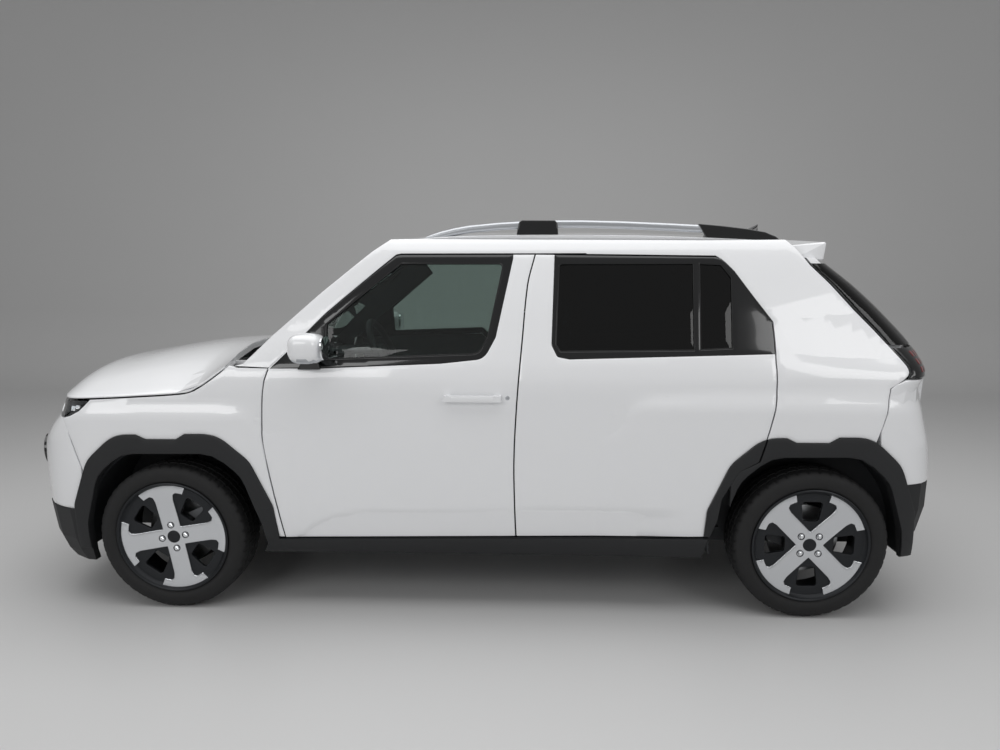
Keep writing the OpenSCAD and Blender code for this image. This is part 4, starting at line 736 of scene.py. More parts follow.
def wheel(x, side, sign, end, turn):
    body = "%s_wheel_%s" % (end, side)
    tag = "%s_%s" % (end, side)
    phase = math.radians(-sign * turn)
    cos_p, sin_p = math.cos(phase), math.sin(phase)

    def face(a, b, depth):
        """The wheel's outer face, domed a little towards the hub."""
        r = math.hypot(a, b)
        y = TRACK / 2 + W2 - FACE_DEEP - FACE_DOME * (1 - min(1, r / FACE_R) ** 2) - depth
        return (x + a * cos_p - b * sin_p, sign * y, WHEEL_Z + a * sin_p + b * cos_p)

    def turned(name, profile, mat, count=96, centre=(x, sign * TRACK / 2, WHEEL_Z), sharp=35):
        return revolve(name, [(r, sign * y) for r, y in profile], centre, mat, body, count, sharp)

    cross = []
    for k in range(4):
        base = k * 90
        arm = [(SPOKE_W / 2, -SPOKE_W / 2)]
        arm += [(FLUKE_IN - 34, -SPOKE_W / 2), (FLUKE_IN - 14, -SPOKE_W / 2 - 5)]
        arm += arc(FLUKE_IN, (-17, -22, -FLUKE_DEG)) + arc(FACE_R, steps(-FLUKE_DEG - 1, FLUKE_DEG + 1, 12))
        arm += arc(FLUKE_IN, (FLUKE_DEG, 22, 17))
        arm += [(FLUKE_IN - 14, SPOKE_W / 2 + 5), (FLUKE_IN - 34, SPOKE_W / 2)]
        c, s = math.cos(math.radians(base)), math.sin(math.radians(base))
        cross += [(a * c - b * s, a * s + b * c) for a, b in arm]
    made = panel("spokes_" + tag, face, cross, ALLOY, body, thick=20, depth=0, step=16, roll=3)
    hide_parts("wheel_" + tag)
    ring = arc(FACE_R + 3, range(0, 360, 5))
    holes = []
    for k in range(4):
        c, s = math.cos(math.radians(45 + 90 * k)), math.sin(math.radians(45 + 90 * k))
        h = POCKET_HOLE / 2
        square = rounded([(POCKET_AT - h * 0.9, -h * 0.72, 9), (POCKET_AT + h, -h, 12), (POCKET_AT + h, h, 12),
                          (POCKET_AT - h * 0.9, h * 0.72, 9)], 4)
        holes.append([(a * c - b * s, a * s + b * c) for a, b in square])
    panel("pockets_" + tag, face, ring, POCKET, body, holes=holes, thick=14, depth=9, step=20, roll=2.5)
    b = RIM_D / 2
    rim = [(b - 17, -W2 + 24), (b - 17, W2 - 26), (b - 3, W2 - 10), (b - 3, W2 - 5), (b - 7, W2 - 3),
           (b - 12, W2 - 6),
           (b - 17, W2 - 18), (b - 25, W2 - 24), (b - 27, W2 - 60), (b - 25, -W2 + 24)]
    turned("rim_barrel_" + tag, rim, POCKET)
    lip = [(b - 11, W2 - 5.6), (b - 7.5, W2 - 2.8), (b - 4, W2 - 4.4), (b - 6, W2 - 8)]
    turned("rim_edge_" + tag, lip, POCKET)
    disc = [(DISC_IN, -33), (DISC_R, -33), (DISC_R, -25), (DISC_R - 4, -24), (DISC_R - 4, -20), (DISC_R, -19),
            (DISC_R, -11), (DISC_IN - 8, -11), (70, 18), (24, 18), (24, 8), (62, 8), (DISC_IN - 14, -14)]
    turned("brake_disc_" + tag, disc, DISC)
    hub = [(23, 16), (74, 16), (72, 60), (23, 66)]
    turned("wheel_hub_" + tag, hub, POCKET, 64)
    cap_y = W2 - FACE_DEEP - FACE_DOME
    cap = [(0.5, cap_y + 4.5), (CAP_R - 6, cap_y + 4), (CAP_R - 1, cap_y + 2), (CAP_R, cap_y - 3), (0.5, cap_y - 3)]
    turned("wheel_cap_" + tag, cap, POCKET, 48)
    for k in range(4):
        angle = phase + math.radians(90 * k)
        nut_at = (x + NUT_PCD / 2 * math.cos(angle), sign * TRACK / 2, WHEEL_Z + NUT_PCD / 2 * math.sin(angle))
        cup = [(11.5, cap_y + 2.6), (14, cap_y + 2.6), (14, cap_y - 8), (11.5, cap_y - 8)]
        turned("nut_seat_%s_%d" % (tag, k), cup, POCKET, 24, nut_at)
        nut = [(0.4, cap_y + 8), (6.5, cap_y + 8), (8.6, cap_y + 6), (9.4, cap_y - 6), (0.4, cap_y - 6)]
        turned("wheel_nut_%s_%d" % (tag, k), nut, CHROME, 6, nut_at, 25)


for side, sign in SIDES:
    for end, x, turn in (("front", XF, 10), ("rear", XR, 45)):
        tyre(x, side, sign, end)
        wheel(x, side, sign, end, turn)
print("wheels made")

# %% [markdown]
# ## Side panels
# Smooth skins over the doors, fenders, quarters and claddings, with rolled edges and the doors' sculpted form.

# %% Side outlines
FRONT_SHUT = [(308, XF - 463), (430, XF - 442), (553, XF - 421), (735, XF - 400), (866, XF - 407), (956, XF - 421),
              (1001, XF - 437)]
MID_SHUT = [(308, XF - 1409), (420, XF - 1405), (619, XF - 1401), (766, XF - 1406), (961, XF - 1419),
            (1100, XF - 1431), (1318, XF - 1450), (1440, XF - 1480)]
REAR_SHUT = [(600, XR + 240), (739, XR + 202), (829, XR + 182), (896, XR + 173), (967, XR + 173), (1062, XR + 180)]
FRAME_TOP, DOOR_LOW = 1440, 306
HALF_SHUT = 2.6


def low_z(x):
    return DOOR_LOW + 0.018 * (XF - 463 - x)


def arch(cx, half, top, k, notch, n=8):
    dip = [(cx + 118, top - 4, 0), (cx + 80, top - notch, 12), (cx - 43, top - notch, 12),
           (cx - 80, top, 0)] if notch else []
    return rounded([(cx + half + 4, 150, 0), (cx + half - 14, top - 300, 80), (cx + half - k, top - k - 15, 130),
                    (cx + half - 2 * k - 25, top - 4, 140)] + dip
                   + [(cx - half + 2 * k + 25, top, 140), (cx - half + k, top - k - 15, 130),
                      (cx - half + 14, top - 300, 80), (cx - half - 20, 150, 0)], n)


FRONT_ARCH, REAR_ARCH = arch(XF - 14, 374, 664, 80, 0), arch(XR + 8, 370, 672, 85, 0)
FRONT_CLAD, REAR_CLAD = arch(XF - 13, 424, 742, 95, 22), arch(XR + 9, 420, 748, 95, 22)


def front_door_outline(g):
    up = [(curve(FRONT_SHUT, z) - g, z) for z in (430, 490, 553, 610, 660, 700, 735, 770, 810, 840, 866, 895, 920,
                                                  956)]
    down = [(curve(MID_SHUT, z) + g, z)
            for z in (FRAME_TOP - g, 1410, 1380, 1350, 1318, 1260, 1210, 1150, 1100, 1030, 961, 910, 860, 766, 700,
                      619, 560, 500, 420, 360)]
    return ([(curve(MID_SHUT, DOOR_LOW) + g, low_z(XF - 1409)), (curve(FRONT_SHUT, DOOR_LOW) - g, DOOR_LOW)] + up
            + [(curve(FRONT_SHUT, 1001) - g, 1001), (XF - 573, 1131), (XF - 654, 1208 - g), (XF - 790, 1323 - g),
               (XF - 930, 1436 - g), (XF - 950, FRAME_TOP - g)] + down)


def rear_door_outline(g):
    up = [(curve(MID_SHUT, z) - g, z)
          for z in (360, 420, 500, 560, 619, 700, 766, 860, 910, 961, 1030, 1100, 1150, 1210, 1260, 1318, 1350, 1380,
                    1410, FRAME_TOP - g)]
    down = [(curve(REAR_SHUT, z) + g, z) for z in (1030, 1000, 967, 930, 896, 860, 829, 780, 739, 700)]
    return ([(XR + 396 + g, low_z(XR + 396)), (curve(MID_SHUT, DOOR_LOW) - g, low_z(XF - 1409))] + up
            + [(XR + 400, FRAME_TOP - g - 10), (XR + 378, 1420), (XR + 361, 1406), (XR + 329, 1374),
               (XR + 258, 1278), (XR + 187 + g, 1183), (XR + 180 + g, 1120), (XR + 178 + g, 1062)] + down
            + [(XR + 226 + g, 650), (XR + 300, 610), (XR + 362, 500), (XR + 376, 400)])


FRONT_SURROUND = rounded([(XF - 440, 1001, 0), (XF - 573, 1131, 0), (XF - 654, 1208, 0),
                          (XF - 932, FRAME_TOP + 20, 0),
                          (XF - 1393, FRAME_TOP + 20, 0), (XF - 1393, 1422, 0), (XF - 1365, 1290, 0),
                          (XF - 1329, 1122, 0), (XF - 1285, 1040, 60), (XF - 1114, 1022, 0), (XF - 638, 1002, 0)], 8)
FRONT_PANE = rounded([(XF - 660, 1036, 8), (XF - 660, 1172, 8), (XF - 948, 1405, 14), (XF - 1358, 1405, 18),
                      (XF - 1335, 1290, 0), (XF - 1301, 1128, 0), (XF - 1268, 1058, 50)], 6)
REAR_SURROUND = rounded([(XR + 1024, FRAME_TOP + 20, 0), (XR + 1035, 1094, 30), (XR + 1010, 1044, 30),
                         (XR + 964, 1040, 0), (XR + 326, 1058, 0), (XR + 150, 1063, 0), (XR + 150, 1460, 0)], 5)
REAR_PANE = rounded([(XR + 1008, 1404, 14), (XR + 1018, 1094, 8), (XR + 1002, 1068, 8), (XR + 484, 1074, 4),
                     (XR + 484, 1404, 4)], 4)
REAR_FIXED_PANE = rounded([(XR + 464, 1404, 4), (XR + 464, 1076, 4), (XR + 338, 1082, 4), (XR + 338, 1350, 8),
                           (XR + 378, 1400, 10)], 4)


def region(keep, *outlines, step=14):
    """The closed borders of what keep(p) accepts, on the net that all the outlines cut: outer ones first."""
    points, edges = [], []
    for outline in outlines:
        loop = dense(outline, step)
        base = len(points)
        points += loop
        edges += [(base + k, base + (k + 1) % len(loop)) for k in range(len(loop))]
    found = geometry.delaunay_2d_cdt([Vector(p) for p in points], edges, [], 0, 1e-4)
    flat = [tuple(p) for p in found[0]]
    following = {}
    for face in found[2]:
        centre = tuple(sum(flat[k][axis] for k in face) / len(face) for axis in (0, 1))
        if not keep(centre):
            continue
        loop = list(face) if area([flat[k] for k in face]) > 0 else list(reversed(face))
        for a, b in zip(loop, loop[1:] + loop[:1]):
            if (b, a) in following:
                del following[(b, a)]
            else:
                following[(a, b)] = True
    onward = {}
    for a, b in following:
        onward.setdefault(a, []).append(b)
    loops = []
    while onward:
        start = next(iter(onward))
        loop, at = [], start
        while True:
            loop.append(at)
            nexts = onward[at]
            after = nexts.pop()
            if not nexts:
                del onward[at]
            at = after
            if at == start or at not in onward:
                break
        loops.append([flat[k] for k in loop])
    return sorted([lp for lp in loops if abs(area(lp)) > 400], key=lambda lp: -area(lp))


print("side outlines ready")

# %% [markdown]
# The doors' lower half is drawn in, the belt line is a soft edge, and both arches carry a flat blister.

# %% Sculpted skin
SCALLOP_TOP = [(XF - 1961, 438), (XF - 1880, 446), (XF - 1400, 432), (XF - 900, 424), (XF - 696, 406),
               (XF - 621, 381),
               (XF - 529, 322)]
BLISTER_FRONT = [(XF - 520, 700), (XF - 420, 735), (XF - 407, 747), (XF - 273, 847), (XF - 153, 863), (XF + 50, 857),
                 (XF + 215, 840)]
BLISTER_REAR = [(XR - 222, 925), (XR + 155, 915), (XR + 459, 902), (XR + 613, 889), (XR + 716, 854), (XR + 764, 774),
                (XR + 830, 720)]


def sculpt(x, z):
    """Depth, in mm, that the skin lies under its plain curve: the drawn-in foot of the doors and the belt edge."""
    top = curve(SCALLOP_TOP, x)
    ends = ramp(XF - 470, XF - 600, x) * ramp(XR + 470, XR + 640, x)
    foot = 7.5 * ends * ramp(top, top - 16, z)
    belt = 2.6 * ramp(972, 958, z) * ramp(760, 930, z) * ramp(XF - 380, XF - 430, x) * ramp(XR + 100, XR + 150, x)
    waist = 1.6 * ramp(750, 766, z) * ramp(930, 800, z) * ramp(XF - 1480, XF - 1300, x)
    return foot - belt * 0.6 + waist * 0.6


def blister(x, z):
    """The raised land over each arch, in mm."""
    rise = 0.0
    if x > XF - 520:
        top = curve(BLISTER_FRONT, x)
        rise = max(rise, 3.6 * ramp(top + 9, top - 6, z) * ramp(XF + 420, XF + 260, x))
    if x < XR + 830:
        top = curve(BLISTER_REAR, x)
        rise = max(rise, 3.6 * ramp(top + 9, top - 6, z))
    return rise


def left_skin(x, z, depth):
    return (x, side_y(x, z) - depth - sculpt(x, z) * (depth < FLANGE_T) + blister(x, z) * (depth < FLANGE_T), z)


def plain_skin(x, z, depth):
    return (x, side_y(x, z) - depth, z)


print("skin relief at the front door's foot:", round(sculpt(XF - 900, 380), 1), "mm")

# %% [markdown]
# The skins fill what lies between the shut lines, the windows and the claddings. Each door's parts ride on the door.

# %% Side panels
PROUD_SKIN = 1.4
CORNER_AREA = 3000  # mm2, smaller scraps between fender and cladding are left off


def on_side(sign, surface):
    return surface if sign > 0 else mirror_y(surface)


def painted(name, surface, outline, body, step=20, holes=()):
    """A painted skin that lies just over its solid."""
    made = panel(name, surface, outline, PAINT, body, holes=holes, thick=4, depth=-PROUD_SKIN, step=step)
    return made


def window_pane(tag, side, outline, glass_made, body, seal_r):
    """A window pane with its rubber seal."""
    end = body.split("_")[0]
    plain = on_side(1 if side == "left" else -1, plain_skin)
    made = panel("%s_door_pane%s_%s" % (end, tag, side), plain, inset(outline, -3), glass_made, body, thick=4,
                 depth=6.5, step=40, roll=0.5)
    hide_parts("%s_door_glass_%s" % (end, side))
    seal = [plain(a, b, 4.4) for a, b in dense(inset(outline, 1.5), 25)]
    tube("%s_pane_seal%s_%s" % (end, tag, side), seal + seal[:2], seal_r, SEAL, body, 8)


def side_panels(side, sign):
    door, rear = "front_door_" + side, "rear_door_" + side
    skin, plain = on_side(sign, left_skin), on_side(sign, plain_skin)
    g = HALF_SHUT
    front_out, rear_out = front_door_outline(g), rear_door_outline(g)
    front_gap, rear_gap = front_door_outline(-g), rear_door_outline(-g)

    loops = region(lambda p: inside(p, front_out) and not inside(p, FRONT_SURROUND), front_out, FRONT_SURROUND)
    painted("front_door_skin_" + side, skin, loops[0], door)
    loops = region(lambda p: inside(p, front_out) and inside(p, FRONT_SURROUND) and not inside(p, FRONT_PANE),
                   front_out, FRONT_SURROUND, FRONT_PANE)
    frame_out = max(loops, key=area)
    panel("front_door_surround_" + side, plain, frame_out, GLOSS_BLACK, door, holes=[FRONT_PANE], thick=7,
          depth=0.2, step=20, roll=1.5)
    window_pane("", side, FRONT_PANE, FRONT_GLASS, door, 3.6)

    loops = region(lambda p: inside(p, rear_out) and not inside(p, REAR_SURROUND) and not inside(p, REAR_CLAD),
                   rear_out, REAR_SURROUND, REAR_CLAD)
    painted("rear_door_skin_" + side, skin, loops[0], rear)
    loops = region(lambda p: inside(p, rear_out) and inside(p, REAR_SURROUND), rear_out, REAR_SURROUND)
    panel("rear_door_surround_" + side, plain, loops[0], GLOSS_BLACK, rear, holes=[REAR_PANE, REAR_FIXED_PANE],
          thick=7, depth=0.2, step=20, roll=1.5)
    window_pane("", side, REAR_PANE, PRIVACY_GLASS, rear, 3.2)
    window_pane("_fixed", side, REAR_FIXED_PANE, PRIVACY_GLASS, rear, 3.2)

    tail_edge = [(XR - curve(TAIL_SIDE, z) + 2, z)
                 for z in (1494, 1470, 1450, 1420, 1396, 1360, 1324, 1270, 1223, 1150, 1110, 1084, 1060, 1040, 1020,
                           1008, 996, 984, 968)]
    quarter = ([(XF - 433, 1005), (XF - 300, 1010), (XF - 334, 1018), (XF - 446, 1126), (XF - 637, 1292),
                (XF - 833, 1450), (XF - 905, 1499), (XF - 960, 1499), (XR + 450, 1492)] + tail_edge
               + [(XR - 254 + g, 935), (XR - 248 + g, 890), (XR - 244 + g, 843), (XR - 232 + g, 790),
                  (XR - 216 + g, 736),
                  (XR - 190, 660), (XR + 230, 640)])
    opening = [(XF - 437, 900), (XF - 437, 1005), (XF - 1500, FRAME_TOP + g), (XR + 900, FRAME_TOP + g),
               (XR + 900, 900)]
    loops = region(lambda p: inside(p, quarter) and not inside(p, front_gap) and not inside(p, rear_gap)
                   and not inside(p, opening) and not inside(p, REAR_CLAD),
                   quarter, front_gap, rear_gap, opening, REAR_CLAD)
    painted("quarter_skin_" + side, skin, loops[0], "body", 22)

    top = [(x, curve(HOOD_SIDE, x) - 9) for x in steps(XF - 281, XF + 286, 16)]
    fender = ([(curve(FRONT_SHUT, 308) + g, 308)]
              + [(curve(FRONT_SHUT, z) + g, z) for z in (430, 490, 553, 610, 660, 700, 735, 770, 810, 840, 866, 895,
                                                         920,
                                                         956, 1001)]
              + [(XF - 310, 1003)] + top
              + [(XF + 331, 830), (XF + 370, 810), (XF + 404, 801), (XF + 372, 700), (XF + 343, 600),
                 (XF + 300, 308)])
    loops = region(lambda p: inside(p, fender) and not inside(p, FRONT_CLAD), fender, FRONT_CLAD)
    painted("fender_skin_" + side, skin, loops[0], "body")
    if len(loops) > 1 and area(loops[1]) > CORNER_AREA:
        panel("fender_corner_" + side, skin, loops[1], PAINT, "body", thick=4, depth=-PROUD_SKIN, step=20)


for side, sign in SIDES:
    side_panels(side, sign)
print("side panels made")

# %% [markdown]
# ## Claddings
# Grained black panels round the arches and along the sills, standing a little off the painted skin.

# %% Claddings and sills
def cladding(side, sign):
    def trim(name, loop, body="body", step=26, roll=3.5):
        panel(name, on_side(sign, plain_skin), loop, TRIM, body, thick=7, depth=-PROUD - 1.2, step=step, roll=roll)

    front_gap, rear_gap = front_door_outline(-HALF_SHUT), rear_door_outline(-HALF_SHUT)
    front_box = [(XF - 500, 246), (XF - 500, 800), (XF + 444, 800), (XF + 444, 246)]
    foot = [(XF - 520, 300), (XF - 462, 300), (XF - 462, 400), (XF - 520, 400)]
    loops = region(lambda p: inside(p, FRONT_CLAD) and not inside(p, FRONT_ARCH) and inside(p, front_box)
                   and not inside(p, front_gap) and not inside(p, foot),
                   FRONT_CLAD, FRONT_ARCH, front_box, front_gap, foot)
    for k, loop in enumerate(loops[:2]):
        trim("front_arch_trim%d_%s" % (k, side), loop)
    rear_box = [(XR - 462, 254), (XR - 462, 800), (XR + 460, 800), (XR + 460, 254)]
    loops = region(lambda p: inside(p, REAR_CLAD) and not inside(p, REAR_ARCH) and inside(p, rear_box)
                   and not inside(p, rear_gap) and p[0] < XR + 330,
                   REAR_CLAD, REAR_ARCH, rear_box, rear_gap,
                   [(XR + 330, 150), (XR + 331, 900), (XR + 900, 900), (XR + 900, 150)])
    for k, loop in enumerate(loops[:2]):
        trim("rear_arch_trim%d_%s" % (k, side), loop)
    rear_out = rear_door_outline(HALF_SHUT)
    floor_box = [(XR + 100, 300), (XR + 100, 800), (XR + 460, 800), (XR + 460, 300)]
    loops = region(lambda p: inside(p, REAR_CLAD) and not inside(p, REAR_ARCH) and inside(p, rear_out)
                   and inside(p, floor_box), REAR_CLAD, REAR_ARCH, rear_out, floor_box)
    trim("rear_door_arch_trim_" + side, loops[0], "rear_door_" + side)
    sill = [(XR + 424, 245), (XR + 402, low_z(XR + 400) - 8), (curve(MID_SHUT, 310), low_z(XF - 1409) - 8),
            (XF - 463, DOOR_LOW - 8), (XF - 402, DOOR_LOW - 8), (XF - 372, 245)]
    trim("sill_trim_" + side, sill, step=40, roll=5)


for side, sign in SIDES:
    cladding(side, sign)
print("claddings made")


# %% [markdown]
# ## Hood, roof and windshield
# Smooth sheets on the same curves as their solids.

# %% Shapes by rings
def loft(name, rings, material, body, sharp=50):
    """A closed body through rings that have the same number of points."""
    n = len(rings[0])
    verts = [p for ring in rings for p in ring]
    faces = [(i * n + k, i * n + (k + 1) % n, (i + 1) * n + (k + 1) % n, (i + 1) * n + k)
             for i in range(len(rings) - 1) for k in range(n)]
    faces += [tuple(range(n)), tuple(range(len(verts) - n, len(verts)))]
    return add_mesh(name, verts, faces, material, body, sharp=sharp)


def oval(centre, across, up, count=20, k=2.6):
    """A rounded section: centre plus half widths along two directions."""
    ring = []
    for i in range(count):
        a = 2 * math.pi * i / count
        c, s = power(math.cos(a), 2 / k), power(math.sin(a), 2 / k)
        ring.append(tuple(centre[j] + across[j] * c + up[j] * s for j in range(3)))
    return ring


def prism(name, outline, y0, y1, material, body, bevel=3.0):
    """A side view outline, from y0 to y1, with rounded edges."""
    n = len(outline)
    verts = [(x, y0, z) for x, z in outline] + [(x, y1, z) for x, z in outline]
    faces = [tuple(range(n)), tuple(range(n, 2 * n))] + [(k, (k + 1) % n, n + (k + 1) % n, n + k) for k in range(n)]
    made = add_mesh(name, verts, faces, material, body, sharp=30)
    add_modifier(made, "BEVEL", width=bevel * MM, segments=3, limit_method="ANGLE", angle_limit=math.radians(35))
    return made


print("shapes by rings ready")

# %% [markdown]
# The hood, the roof and the windshield are single sheets that follow the body's curves.

# %% Hood, roof and windshield
HOOD_LEN = NOSE_LEN - 168


def hood_point(x, u, up):
    at = x + 70 * (1 - u * u) * (1 - ramp(XF - 262, XF + 20, x))
    wide = (side_y(x, curve(HOOD_SIDE, x) - 4) if x < NOSE_START
            else side_y(NOSE_START, 880) * corner(x - NOSE_START, HOOD_LEN + 0.5, NOSE_POW))
    return (at, u * wide, hood_z(at, u) + (2 if abs(u) > 0.97 else 2 * ramp(0.9, 0.97, abs(u))) + up)


def hood_skin():
    xs = steps(XF - 262, NOSE_START - 30, 30) + [
        NOSE_START + HOOD_LEN * math.cos(math.radians(t)) ** (2 / NOSE_POW) for t in steps(88, 12, 26)]
    half = [0, 0.1, 0.2, 0.3, 0.4, 0.5, 0.6, 0.7, 0.78, 0.85, 0.9, 0.94, 0.965, 0.985, 0.995, 1]
    us = [-u for u in reversed(half[1:])] + half
    rise = {1: -1.5, 0.995: 0.6}
    rows = [[hood_point(x, u, 1.6 + rise.get(abs(u), 0.4)) for x in xs] for u in us]
    back = [[hood_point(x, u, -4) for x in xs] for u in us]
    made = grid("hood_skin", rows, PAINT, "hood", back)


def roof_sheet():
    half = [0, 0.12, 0.25, 0.38, 0.5, 0.62, 0.74, 0.84, 0.92, 0.97, 0.99, 1]
    ys = [-574 * h for h in reversed(half[1:])] + [574 * h for h in half]
    rows, back = [], []
    for y in ys:
        front = curve(SCREEN_MID, 1502) - 78 * (abs(y) / 600) ** 2 - 5
        xs = steps(XR + 134, front, 44)
        drop = 2.4 * ramp(566, 574, abs(y))
        rows.append([(x, y, roof_z(x, y) + 1.6 - drop) for x in xs])
        back.append([(x, y * 0.996, roof_z(x, y) - 4) for x in xs])
    made = grid("roof_skin", rows, PAINT, "body", back)


def screen(a, b, depth):
    return (screen_x(a, b) - depth, a, b)


def windshield():
    edge = [(side_y(XF - 320 - (z - 1010) * 1.144, z) - 35, z) for z in steps(1024, 1495, 14)]
    outline = edge + [(-y, z) for y, z in reversed(edge)]
    made = panel("windshield_glass", screen, outline, FRONT_GLASS, "body", thick=5, depth=-0.6, step=50, roll=0.8)
    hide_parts("windshield")
    clear = rounded([(y, z, 60) for y, z in inset([edge[0], edge[-1], (-edge[-1][0], edge[-1][1]),
                                                   (-edge[0][0], edge[0][1])], 42)], 6)
    panel("windshield_frit", screen, outline, SEAL, "body", holes=[clear], thick=1.2, depth=5.2, step=50, roll=0.5)
    block("interior_mirror", box_corners(XF - 775, XF - 748, -110, 110, 1335, 1395), CABIN, "body", 8)
    block("sensor_case", box_corners(XF - 790, XF - 735, -40, 40, 1385, 1420), CABIN, "body", 8)


hood_skin()
roof_sheet()
windshield()
print("hood, roof and windshield made")

# %% [markdown]
# ## Roof rails
# Silver bars with a black block in the middle and a long black foot at the rear.

# %% Roof rails
RAIL = [(176, 1505, 4), (150, 1509, 11), (115, 1517, 14), (60, 1529, 15), (0, 1539, 15), (-122, 1550, 15),
        (-282, 1558, 15), (-450, 1558, 15), (-601, 1554, 15), (-800, 1545, 15), (-960, 1536, 15)]


def rails(side, sign):
    y = sign * 540
    rings = [oval((x, y, z), (0, 17, 0), (0, 0, h)) for x, z, h in RAIL]
    made = loft("roof_rail_" + side, rings, SILVER, "body")
    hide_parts("roof_rails")
    prism("rail_block_" + side, [(-188, 1508), (-356, 1508), (-352, 1562), (-342, 1572), (-210, 1573), (-198, 1564)],
          y - 22, y + 22, GLOSS_BLACK, "body", 4)
    prism("rail_foot_" + side, [(-944, 1494), (-908, 1557), (-1000, 1549), (-1100, 1537), (-1170, 1525),
                                (-1212, 1507),
                                (-1240, 1486), (-1226, 1480), (-1080, 1489)], y - 21, y + 21, GLOSS_BLACK, "body", 4)
    block("rail_front_foot_" + side, box_corners(60, 168, y - 15, y + 15, 1496, 1512), SILVER, "body", 4)


for side, sign in SIDES:
    rails(side, sign)
fin = [oval((x - 38, 0, z - 3), (0, w, 0), (0, 0, h), 14, 2.2) for x, z, w, h in
       [(XR + 262, 1519, 10, 4), (XR + 225, 1526, 15, 11), (XR + 180, 1537, 15, 22), (XR + 150, 1545, 12, 29),
        (XR + 132, 1552, 8, 30), (XR + 122, 1566, 4, 22)]]
made = loft("antenna_fin", fin, GLOSS_BLACK, "body")
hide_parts("roof_antenna")
print("rails and antenna made")

# %% [markdown]
# ## Front end
# Painted bumper, dark upper band with the lamps at its ends, lower grille and round lamps.

# %% Front end
DEG = 8.0
PANEL_Z = (796, 864)
GRILLE_Z, GRILLE_W = (420, 545), 500
LAMP_Y, LAMP_Z, LAMP_R, LAMP_TURN = 520, 617, 66, math.radians(16)


def nose_skin(a, b, depth):
    return nose(a / DEG, b, depth)


def nose_ty(y, z):
    return math.degrees(math.asin(max(-1, min(1, power(y / side_y(NOSE_START, z), NOSE_POW / 2)))))


def on_nose(outline, sign=1):
    """A side view outline laid on the front end's skin."""
    return [(sign * DEG * nose_t(x, z), z) for x, z in dense(outline, 12)]


def circle_y(y0, z0, r, n=48, squash=1.0):
    return [(y0 + r * squash * math.cos(2 * math.pi * k / n), z0 + r * math.sin(2 * math.pi * k / n))
            for k in range(n)]


def front_end():
    low, high = GRILLE_Z[0] + 1, PANEL_Z[0] - 2
    holes, cuts = [], []
    for sign in (1, -1):
        split = [(XF + 404, high + 30), (XF + 404, 799), (XF + 378, 700), (XF + 349, 600), (XF + 349, 380),
                 (XF + 200, 380), (XF + 200, high + 30)]
        cuts += [on_nose(split, sign), on_nose(FRONT_CLAD, sign)]
        ring = circle_y(sign * LAMP_Y, LAMP_Z, LAMP_R + 1.5, 48, math.cos(LAMP_TURN))
        holes.append([(DEG * nose_ty(y, z), z) for y, z in ring])
    mouth = [(DEG * nose_ty(y, z), z)
             for y, z in dense(rect(-GRILLE_W - 2, GRILLE_W + 2, 300, GRILLE_Z[1] + 2), 20)]
    frame_out = rect(-89 * DEG, 89 * DEG, low, high)
    loops = region(lambda p: inside(p, frame_out) and not any(inside(p, c) for c in cuts) and not inside(p, mouth),
                   frame_out, mouth, *cuts)
    painted("front_bumper_skin", nose_skin, loops[0], "body", 16, holes)

    top = rect(-70 * DEG, 70 * DEG, PANEL_Z[0] + 1.5, PANEL_Z[1] - 1)
    panel("front_band", nose_skin, top, GLOSS_BLACK, "body", thick=4, depth=2.6, step=20)
    for k, t in enumerate(steps(-60, 60, 20)):
        cell = soft_rect(t * DEG - 12, t * DEG + 12, 816, 844)
        panel("front_band_cell_%02d" % k, nose_skin, cell, PIXEL, "body", thick=2.5, depth=1.6, step=30, roll=0.8)

    grille = [(DEG * nose_ty(y, z), z)
              for y, z in dense(rect(-GRILLE_W + 2, GRILLE_W - 2, GRILLE_Z[0] + 2, GRILLE_Z[1] - 2), 30)]
    panel("grille_plate", nose_skin, grille, TRIM, "body", thick=3, depth=8.4, step=24, roll=1)
    for row in range(4):
        z = GRILLE_Z[0] + 22 + 27 * row
        path = [nose(nose_ty(y, z), z, 7.0) for y in steps(-GRILLE_W + 22, GRILLE_W - 22, 40)]
        rings = [oval(p, (4, 0, 0), (0, 0, 6.5), 10) for p in path]
        loft("grille_bar_%d" % row, rings, GLOSS_BLACK, "body")
    for k, y in enumerate(steps(-440, 440, 16)):
        rings = [oval(nose(nose_ty(y, z), z, 6.0), (5, 0, 0), (0, 3.5, 0), 8)
                 for z in steps(GRILLE_Z[0] + 8, GRILLE_Z[1] - 8, 6)]
        loft("grille_post_%02d" % k, rings, GLOSS_BLACK, "body")


